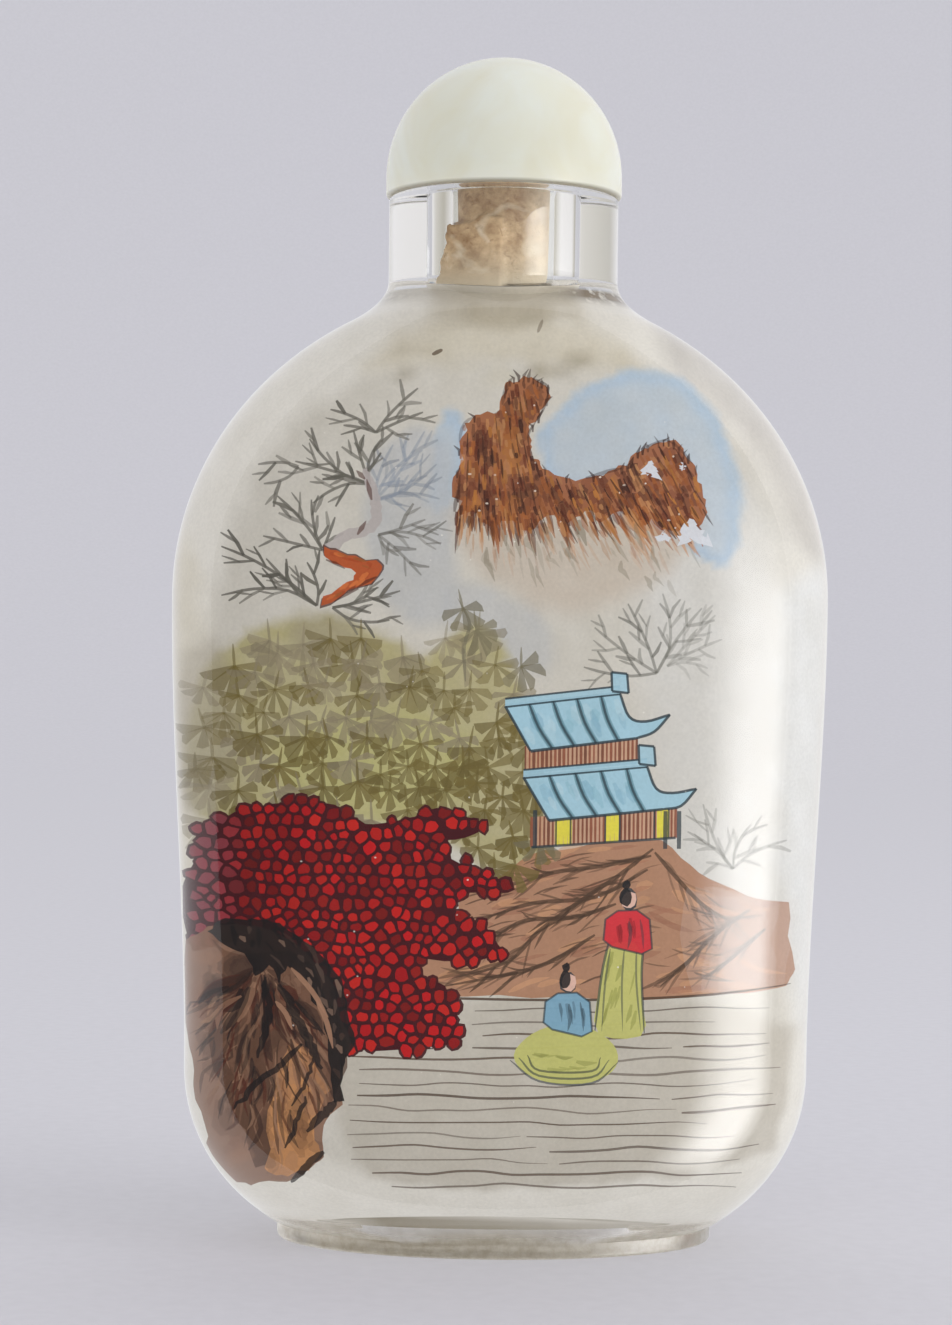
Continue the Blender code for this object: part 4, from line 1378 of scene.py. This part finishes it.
class Sheet:
    """The inside wall of the glass laid flat. The picture is stretched to the sides, where the glass squeezes it.

    A flat place is its length round the wall from the middle of the front and its length up the wall, in
    millimetres. A seen place is the x and z where it shows through the glass.
    """

    STRAIGHT, STRETCH_POWER, EDGE = 0.8, 14, 0.985
    RING_PLACES, RING_SAMPLES, SEEN_SAMPLES = 161, 1500, 400
    COLUMN_STEP, ROW_STEP = 0.52, 0.6
    TOP_CLEARANCE, LOW_MARGIN, TOP_MARGIN = 0.05, 0.08, 0.1
    SIDES_BEGIN, SIDE_CUT, MIDDLE_CUT = 0.62, 0.45, 1.6
    SEAM_SHARE, RIM_WIDTH = 0.13, 0.35

    def __init__(self, s):
        sections = hollow_sections(s, s.paint_depth)
        radius = s.bore_radius + s.paint_depth
        top = s.cork_foot - self.TOP_CLEARANCE * MM
        sections += [disc(height, radius) for height in np.linspace(s.throat_height, top, 3)[1:]]
        self.fractions = np.linspace(0, 1, self.RING_PLACES)
        turn = np.linspace(0, math.pi / 2, self.RING_SAMPLES)
        lengths, across, out = [], [], []
        for _, half_width, half_depth, squareness in sections:
            x = half_width * np.sin(turn) ** (2 / squareness) / MM
            y = half_depth * np.abs(np.cos(turn)) ** (2 / squareness) / MM
            travelled = np.concatenate([[0], np.cumsum(np.hypot(np.diff(x), np.diff(y)))])
            lengths.append(travelled[-1])
            across.append(np.interp(self.fractions * travelled[-1], travelled, x))
            out.append(np.interp(self.fractions * travelled[-1], travelled, y))
        self.lengths, self.across, self.out = np.array(lengths), np.array(across), np.array(out)
        self.heights = np.array([section[0] for section in sections]) / MM
        leaning = np.array([(section[1] + section[2]) / 2 for section in sections]) / MM
        steps = np.hypot(np.diff(self.heights), np.diff(leaning))
        self.travel = np.concatenate([[0], np.cumsum(steps)])

    def half_width(self, up):
        """Half the width of the flat sheet at a place up it."""
        return np.interp(up, self.travel, self.lengths)

    def seen_share(self, share):
        """The share of the seen half width that lies at a share of the way round the wall."""
        seen = np.linspace(0, 1, self.SEEN_SAMPLES)
        return np.interp(share, self.round_share(seen), seen)

    def round_share(self, seen):
        """The share of the way round the wall that lies at a share of the seen half width."""
        return self.STRAIGHT * seen + (1 - self.STRAIGHT) * seen ** self.STRETCH_POWER

    def lay(self, outline):
        """A seen outline laid flat and drawn in from the edges of the sheet."""
        up = np.interp(outline[:, 1], self.heights, self.travel)
        up = np.clip(up, self.travel[0] + self.LOW_MARGIN, self.travel[-1] - self.TOP_MARGIN)
        reach = self.half_width(up)
        seen = np.clip(np.abs(outline[:, 0]) / (self.STRAIGHT * reach), 0, self.EDGE)
        return np.column_stack([np.sign(outline[:, 0]) * self.round_share(seen) * reach, up])

    def fine(self, laid):
        """A flat outline with its long edges cut, so that it follows the wall where that curves."""
        ahead = np.roll(laid, -1, axis=0) - laid
        length = np.hypot(ahead[:, 0], ahead[:, 1])
        side = np.abs(laid[:, 0]) > self.SIDES_BEGIN * self.half_width(laid[:, 1])
        parts = np.maximum(1, np.ceil(length / np.where(side, self.SIDE_CUT, self.MIDDLE_CUT)).astype(int))
        starts, steps = np.repeat(laid, parts, axis=0), np.repeat(ahead / parts[:, None], parts, axis=0)
        place = np.concatenate([np.arange(count) for count in parts])
        return starts + steps * place[:, None]

    def show(self, flat):
        """Where flat places show through the glass."""
        reach = self.half_width(flat[:, 1])
        seen = self.seen_share(np.clip(np.abs(flat[:, 0]) / reach, 0, 1)) * self.STRAIGHT * reach
        return np.column_stack([np.sign(flat[:, 0]) * seen, np.interp(flat[:, 1], self.travel, self.heights)])

    def rows(self):
        """The rows of the plain mesh, which keep to the rings of the glass."""
        made = [self.travel[0]]
        for low, high in zip(self.travel[:-1], self.travel[1:]):
            steps = max(1, int(math.ceil((high - low) / self.ROW_STEP)))
            made += list(np.linspace(low, high, steps + 1)[1:])
        return np.array(made)

    def place(self, flat, back):
        """Where places on the flat sheet are on the wall, in metres."""
        x, up = flat[:, 0], flat[:, 1]
        row = np.clip(np.searchsorted(self.travel, up, side="right") - 1, 0, len(self.travel) - 2)
        rise = np.clip((up - self.travel[row]) / (self.travel[row + 1] - self.travel[row]), 0, 1)
        column = np.clip(np.abs(x) / self.half_width(up), 0, 1) * (len(self.fractions) - 1)
        first = np.clip(column.astype(int), 0, len(self.fractions) - 2)
        part = column - first
        made = []
        for table in (self.across, self.out):
            low = mix(table[row, first], table[row, first + 1], part)
            high = mix(table[row + 1, first], table[row + 1, first + 1], part)
            made.append(mix(low, high, rise))
        side = np.sign(x) * (-1 if back else 1)
        height = mix(self.heights[row], self.heights[row + 1], rise)
        return np.column_stack([made[0] * side, made[1] * (1 if back else -1), height]) * MM

    def painted(self, art, ground):
        """The flat triangles of a picture, with a colour for each of their corners."""
        points, edges, ends = [], [], []
        for up in self.rows():
            reach = float(self.half_width(up))
            columns = max(8, int(reach / self.COLUMN_STEP))
            ends.append((len(points), len(points) + 2 * columns))
            points += [(x, up) for x in np.linspace(-reach, reach, 2 * columns + 1)]
        for (low_left, low_right), (high_left, high_right) in zip(ends[:-1], ends[1:]):
            edges += [(low_left, high_left), (low_right, high_right)]
        for first, last in (ends[0], ends[-1]):
            edges += [(index, index + 1) for index in range(first, last)]
        outlines = []
        for outline, *_ in art.marks:
            laid = self.fine(self.lay(outline))
            start, count = len(points), len(laid)
            points += [tuple(point) for point in laid]
            edges += [(start + index, start + (index + 1) % count) for index in range(count)]
            outlines.append(laid)
        made = delaunay_2d_cdt([Vector(point) for point in points], edges, [], 0, 1e-4, False)
        flat, triangles = np.array([tuple(point) for point in made[0]]), np.array(made[2])
        middles = flat[triangles].mean(axis=1)
        kept = np.abs(middles[:, 0]) < self.half_width(middles[:, 1])
        triangles, middles = triangles[kept], middles[kept]
        share = np.abs(flat[:, 0]) / self.half_width(flat[:, 1])
        seam = ease(np.clip((1 - share) / self.SEAM_SHARE, 0, 1))
        corners = self.washed(art, self.show(flat), ground, seam)[triangles]
        order = np.argsort(middles[:, 0])
        sorted_x = middles[order, 0]
        for outline, (_, colour, strength) in zip(outlines, art.marks):
            low, high = outline.min(axis=0), outline.max(axis=0)
            near = order[np.searchsorted(sorted_x, low[0]):np.searchsorted(sorted_x, high[0])]
            near = near[(middles[near, 1] > low[1]) & (middles[near, 1] < high[1])]
            under = near[inside(middles[near], outline)]
            corners[under] = mix(corners[under], np.array(colour), strength)
        return flat, triangles, corners

    def washed(self, art, seen, ground, seam):
        """The colours of the ground and its washes at places given by x and z. They fade out at the sheet's sides."""
        colours = np.tile(np.array(ground), (len(seen), 1))
        uneven = ripple(seen, 2.2, 5) * 0.35
        for outline, colour, strength, softness, rim in art.washes:
            depth = distance_to(seen, outline) * np.where(inside(seen, outline), 1, -1) + uneven
            share = strength * ease(np.clip(depth / softness + 0.5, 0, 1))
            share += rim * np.exp(-((depth - softness) / self.RIM_WIDTH) ** 2) * (share > 0)
            share *= 1 + 0.18 * ripple(seen, 1.3, 11)
            colours = mix(colours, np.array(colour), (np.clip(share, 0, 1) * seam)[:, None])
        return colours


def build_glass():
    """The bottle of clear glass with its hollow, as one closed shape."""
    s = sizes()
    shoulders = shoulder_sections(s)
    sections = foot_sections(s) + corner_sections(s)
    sections += [side_section(s, share) for share in shares(12)]
    sections += shoulders + neck_sections(s, shoulders[-1])
    sections += hollow_sections(s)[::-1]
    piece = lofted("glass_bottle", sections, s.ring_points)
    finish_piece(piece, clear_glass(), "bottle")


def build_painting():
    """The ground inside of the wall with the pictures on it, a skin just inside the glass."""
    s = sizes()
    sheet = Sheet(s)
    ground = bpy.context.scene.snuff_paint.ground
    places, triangles, corners = [], [], []
    count = 0
    for art, back in ((front_picture(), False), (back_picture(), True)):
        flat, faces, colours = sheet.painted(art, ground)
        places.append(sheet.place(flat, back))
        triangles.append(faces + count)
        corners.append(colours)
        count += len(flat)
    places, triangles, corners = np.concatenate(places), np.concatenate(triangles), np.concatenate(corners)
    used, index = np.unique(triangles, return_inverse=True)
    triangles = index.reshape(triangles.shape)
    mesh = bpy.data.meshes.new("painted_wall")
    mesh.from_pydata(places[used].tolist(), [], triangles.tolist())
    layer = mesh.color_attributes.new("paint", "FLOAT_COLOR", "CORNER")
    values = np.concatenate([corners.reshape(-1, 3), np.ones((len(corners) * 3, 1))], axis=1)
    layer.data.foreach_set("color", values.astype(np.float32).ravel())
    piece = new_object("painted_wall", mesh)
    bpy.ops.object.select_all(action="DESELECT")
    piece.select_set(True)
    bpy.context.view_layer.objects.active = piece
    build = bmesh.new()
    build.from_mesh(mesh)
    bmesh.ops.remove_doubles(build, verts=[vertex for vertex in build.verts if vertex.is_boundary], dist=WELD)
    floor = [edge for edge in build.edges if edge.is_boundary and edge.verts[0].co.z < s.floor_height]
    capped = bmesh.ops.contextual_create(build, geom=floor)["faces"]
    paint = build.loops.layers.float_color["paint"]
    # The floor of the hollow is mottled darker, partly dust and partly painted shade that shows through the foot.
    dust = rgb(150, 138, 114)
    for face in capped:
        tones = ripple(np.array([loop.vert.co[:2] for loop in face.loops]) / MM, 1.4, 9)
        for loop, tone in zip(face.loops, tones):
            loop[paint] = (*mix(np.array(ground), np.array(dust), held(0.6 + tone * 1.6)), 1)
    bmesh.ops.recalc_face_normals(build, faces=build.faces)
    build.to_mesh(mesh)
    build.free()
    bpy.ops.object.shade_smooth_by_angle(angle=SMOOTH_ANGLE)
    finish_piece(piece, painted_skin())


def build_cork():
    """The tapered cork plug. It presses on the glass at its lower left, and has air round it elsewhere.

    The pressed patch runs from the front round to the left, in degrees, and up a share of the cork's height. Its
    far edge draws in towards the top, and both its far and its top edge waver.
    """
    s = sizes()
    rings, points, bevel = 44, 180, 0.2 * MM
    sections = [disc(s.cork_foot, s.cork_foot_radius - bevel)]
    for share in np.linspace(0, 1, rings):
        radius = mix(s.cork_foot_radius, CORK_TOP.x, share)
        sections.append(disc(mix(s.cork_foot + bevel, CORK_TOP.z, share), radius))
    piece = lofted("cork_plug", sections, points)
    pressed = s.bore_radius + s.paint_depth
    for vertex in piece.data.vertices:
        x, y, z = vertex.co
        reach = math.hypot(x, y)
        turn = math.degrees(math.atan2(-x, -y))
        level = (z - s.cork_foot) / (CORK_TOP.z - s.cork_foot)
        far_edge = 77 - 27 * level + 1.6 * math.sin(level * 23) + 0.7 * math.sin(level * 57 + 1)
        top_edge = 0.74 + 0.04 * math.sin(turn / 9) + 0.012 * math.sin(turn / 3.4 + 2)
        swell = soft_step(turn + 5, 9) * soft_step(far_edge - turn, 5) * soft_step(top_edge - level, 0.05)
        grown = mix(reach, pressed, swell) / reach
        vertex.co = (x * grown, y * grown, z)
    finish_piece(piece, cork_material(), "cork")


def build_stopper():
    """The polished dome on a short skirt."""
    s = sizes()
    radius = STOPPER_TOP.x
    low = BOTTLE_TOP.z + s.stopper_gap
    sections = []
    for turn in quarter(6):
        inset = s.stopper_edge * (1 - math.sin(turn))
        sections.append(disc(low + s.stopper_edge * (1 - math.cos(turn)), radius - inset))
    for turn in quarter(48)[:-1]:
        sections.append(disc(mix(s.dome_foot, STOPPER_TOP.z, math.sin(turn)), radius * math.cos(turn)))
    sections.append(disc(STOPPER_TOP.z, 1e-6))
    piece = lofted("dome_stopper", sections, 128, pointed=True)
    finish_piece(piece, stone_material(), "stopper")


def hide_from(piece, *rays):
    """Hides a piece of the studio from kinds of rays."""
    for ray in rays:
        setattr(piece, "visible_" + ray, False)


def soft_light(name, place, target, width, height, power, colour, shine):
    """A soft rectangular lamp that isn't seen itself. One that only shines in polished things fades to its edges."""
    light = bpy.data.lights.new(name, "AREA")
    light.shape = "RECTANGLE"
    light.size, light.size_y = width, height
    light.energy, light.color = power, colour
    lamp = new_object(name, light)
    lamp.location = place
    lamp.rotation_euler = (Vector(target) - Vector(place)).to_track_quat("-Z", "Y").to_euler()
    if not shine:
        hide_from(lamp, "camera", "glossy", "transmission")
        return
    hide_from(lamp, "camera", "diffuse")
    light.use_nodes = True
    nodes = Nodes(light.node_tree)
    on_lamp = nodes.add("NewGeometry", {}, "Parametric")
    fades = []
    for axis in nodes.add("SeparateXYZ", {0: on_lamp}).node.outputs[:2]:
        inwards = nodes.add("Math", {0: axis, 1: 0.5}, operation="PINGPONG")
        fades.append(nodes.add("MapRange", {0: inwards, "From Max": 0.42}, interpolation_type="SMOOTHSTEP"))
    strength = nodes.add("Math", dict(enumerate(fades)), operation="MULTIPLY")
    nodes.fill(light.node_tree.nodes["Emission"], {"Strength": strength})


def build_dim_side():
    """The dim side of the room behind the camera, which only shows as a reflection."""
    bpy.ops.object.select_all(action="DESELECT")
    bpy.ops.mesh.primitive_uv_sphere_add(segments=48, ring_count=24, radius=0.9, location=(0, 0, 0))
    side = bpy.context.object
    side.name = "dim_side"
    bpy.ops.object.mode_set(mode="EDIT")
    bpy.ops.mesh.bisect(plane_co=(0, -0.12, 0), plane_no=(0, 1, 0), clear_outer=True)
    bpy.ops.mesh.select_all(action="SELECT")
    bpy.ops.mesh.flip_normals()
    bpy.ops.object.mode_set(mode="OBJECT")
    dim, nodes = new_material("dim_side")
    soft = nodes.noise(nodes.add("TexCoord", {}, "Object"), 3, 2)
    shades = nodes.ramp(soft, (0.3, (0.14, 0.14, 0.15)), (0.7, plain(0.22)))
    nodes.shader({"Base Color": shades, "Roughness": 1.0})
    side.data.materials.append(dim)
    hide_from(side, "camera", "diffuse", "transmission", "shadow")


def build_card(name, place, *stops):
    """An upright card beside the backdrop, which only shows where the neck's glass bends the view to it."""
    width, height, reach = 0.50, 0.4, 0.33
    bpy.ops.object.select_all(action="DESELECT")
    turn = (math.pi / 2, 0, math.atan2(place[1], place[0]) - math.pi / 2)
    bpy.ops.mesh.primitive_plane_add(size=1, location=place, rotation=turn)
    card = bpy.context.object
    card.name = name
    card.scale = (width, height, 1)
    bpy.ops.object.transform_apply(location=True, rotation=True, scale=True)
    board, nodes = new_material(name)
    out = math.copysign(width * reach, place[0])
    across = nodes.span(nodes.place()[1], (place[0] - out, place[0] + out), 0.0, 1.0)
    nodes.shader({"Base Color": nodes.ramp(across, *stops), "Roughness": 1.0})
    card.data.materials.append(board)
    hide_from(card, "camera", "diffuse", "glossy", "shadow")


def build_floor(stage):
    """A pale seamless floor that curves up into the wall."""
    sections = [disc(0, 0.1), disc(0, stage.floor_radius)]
    for turn in quarter(14)[1:]:
        rise, reach = stage.bowl_rise * (1 - math.cos(turn)), stage.bowl_rise * math.sin(turn)
        sections.append(disc(rise, stage.floor_radius + reach))
    sections.append(disc(stage.wall_top, stage.floor_radius + stage.bowl_rise))
    bowl = lofted("studio_floor", sections, 96)
    bpy.ops.object.mode_set(mode="EDIT")
    build = bmesh.from_edit_mesh(bowl.data)
    lid = [face for face in build.faces if face.calc_center_median().z > stage.wall_top - MM]
    bmesh.ops.delete(build, geom=lid, context="FACES_ONLY")
    bpy.ops.mesh.select_all(action="SELECT")
    bpy.ops.mesh.flip_normals()
    bpy.ops.object.mode_set(mode="OBJECT")
    paper, nodes = new_material("studio_paper")
    grain = nodes.noise(nodes.add("TexCoord", {}, "Object"), 900, 4)
    colour = bpy.context.scene.snuff_finish.paper
    darker = tuple(value * 0.96 for value in colour)
    nodes.shader({"Base Color": nodes.ramp(grain, (0.3, darker), (0.7, colour)), "Roughness": 0.9})
    bowl.data.materials.append(paper)
    hide_from(bowl, "diffuse", "shadow", "glossy")


def build_camera(stage):
    """The camera, where the photo's stood."""
    camera = bpy.data.cameras.new("photo_camera")
    camera.lens = stage.lens
    camera.sensor_width = 36
    camera.clip_start = MM
    eye = new_object("photo_camera", camera)
    eye.location = (-stage.camera_side, -stage.camera_distance, stage.camera_height)
    eye.rotation_euler = (math.pi / 2, stage.camera_roll, 0)
    bpy.context.scene.camera = eye


def build_stage():
    """The floor, the light and the camera."""
    stage = bpy.context.scene.snuff_stage
    build_floor(stage)
    build_dim_side()
    # The grey card is painted shade, standing in for the shaded surroundings on the left; the ramps across both cards
    # paint lighter and darker bands.
    white, dull, pale = rgb(239, 236, 234), rgb(186, 181, 168), rgb(214, 210, 202)
    build_card("white_card", (0.30, 0.26, 0.2), (0.06, dull), (0.22, white), (0.7, white), (0.95, dull))
    build_card("grey_card", (-0.30, 0.26, 0.2), (0.06, white), (0.24, pale), (0.6, dull), (0.95, white))
    soft_light("window", (0.39, -0.22, -0.26), (0, 0, -0.26), 0.48, 1.1, stage.window_power, plain(1.0), True)
    soft_light("key", (0.46, -0.20, 0.20), (0, 0, 0.035), 0.30, 0.40, stage.key_power, (0.98, 0.985, 1.0), False)
    world = bpy.data.worlds.new("soft_room")
    world.use_nodes = True
    room = {"Color": (0.87, 0.87, 0.90), "Strength": stage.room_strength}
    Nodes(world.node_tree).fill(world.node_tree.nodes["Background"], room)
    bpy.context.scene.world = world
    bpy.context.scene.view_settings.view_transform = "Standard"
    build_camera(stage)


class SNUFF_OT_glass(bpy.types.Operator):
    """Make the clear glass bottle with its hollow"""

    bl_idname = "snuff.glass"
    bl_label = "Glass bottle"

    def execute(self, context):
        build_glass()
        return {"FINISHED"}


class SNUFF_OT_painting(bpy.types.Operator):
    """Make the frosted inside of the wall and the pictures on it"""

    bl_idname = "snuff.painting"
    bl_label = "Inside painting"

    def execute(self, context):
        build_painting()
        return {"FINISHED"}


class SNUFF_OT_cork(bpy.types.Operator):
    """Make the cork plug in the neck"""

    bl_idname = "snuff.cork"
    bl_label = "Cork"

    def execute(self, context):
        build_cork()
        return {"FINISHED"}


class SNUFF_OT_stopper(bpy.types.Operator):
    """Make the polished dome on the neck"""

    bl_idname = "snuff.stopper"
    bl_label = "Stopper"

    def execute(self, context):
        build_stopper()
        return {"FINISHED"}


class SNUFF_OT_stage(bpy.types.Operator):
    """Make the floor, the light and the camera"""

    bl_idname = "snuff.stage"
    bl_label = "Stage"

    def execute(self, context):
        build_stage()
        return {"FINISHED"}


STEPS = (SNUFF_OT_glass, SNUFF_OT_painting, SNUFF_OT_cork, SNUFF_OT_stopper, SNUFF_OT_stage)
GROUPS = {
    "snuff_sizes": BottleSizes,
    "snuff_paint": PaintColours,
    "snuff_finish": FinishColours,
    "snuff_stage": StageSettings,
}


class SNUFF_PT_panel(bpy.types.Panel):
    """The steps and the values of the snuff bottle"""

    bl_idname = "SNUFF_PT_panel"
    bl_label = "Snuff bottle"
    bl_space_type = "VIEW_3D"
    bl_region_type = "UI"
    bl_category = "Snuff bottle"

    def draw(self, context):
        for step in STEPS:
            self.layout.operator(step.bl_idname, text=step.bl_label)
        for name, group in GROUPS.items():
            box = self.layout.box()
            for value in group.__annotations__:
                box.prop(getattr(context.scene, name), value)


def register():
    for item in (*GROUPS.values(), *STEPS, SNUFF_PT_panel):
        bpy.utils.register_class(item)
    for name, group in GROUPS.items():
        setattr(bpy.types.Scene, name, PointerProperty(type=group))


def unregister():
    for name in GROUPS:
        delattr(bpy.types.Scene, name)
    for item in reversed((*GROUPS.values(), *STEPS, SNUFF_PT_panel)):
        bpy.utils.unregister_class(item)


def main():
    register()
    bpy.ops.snuff.glass()
    bpy.ops.snuff.painting()
    bpy.ops.snuff.cork()
    bpy.ops.snuff.stopper()
    bpy.ops.snuff.stage()
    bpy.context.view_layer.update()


if __name__ == "__main__":
    main()
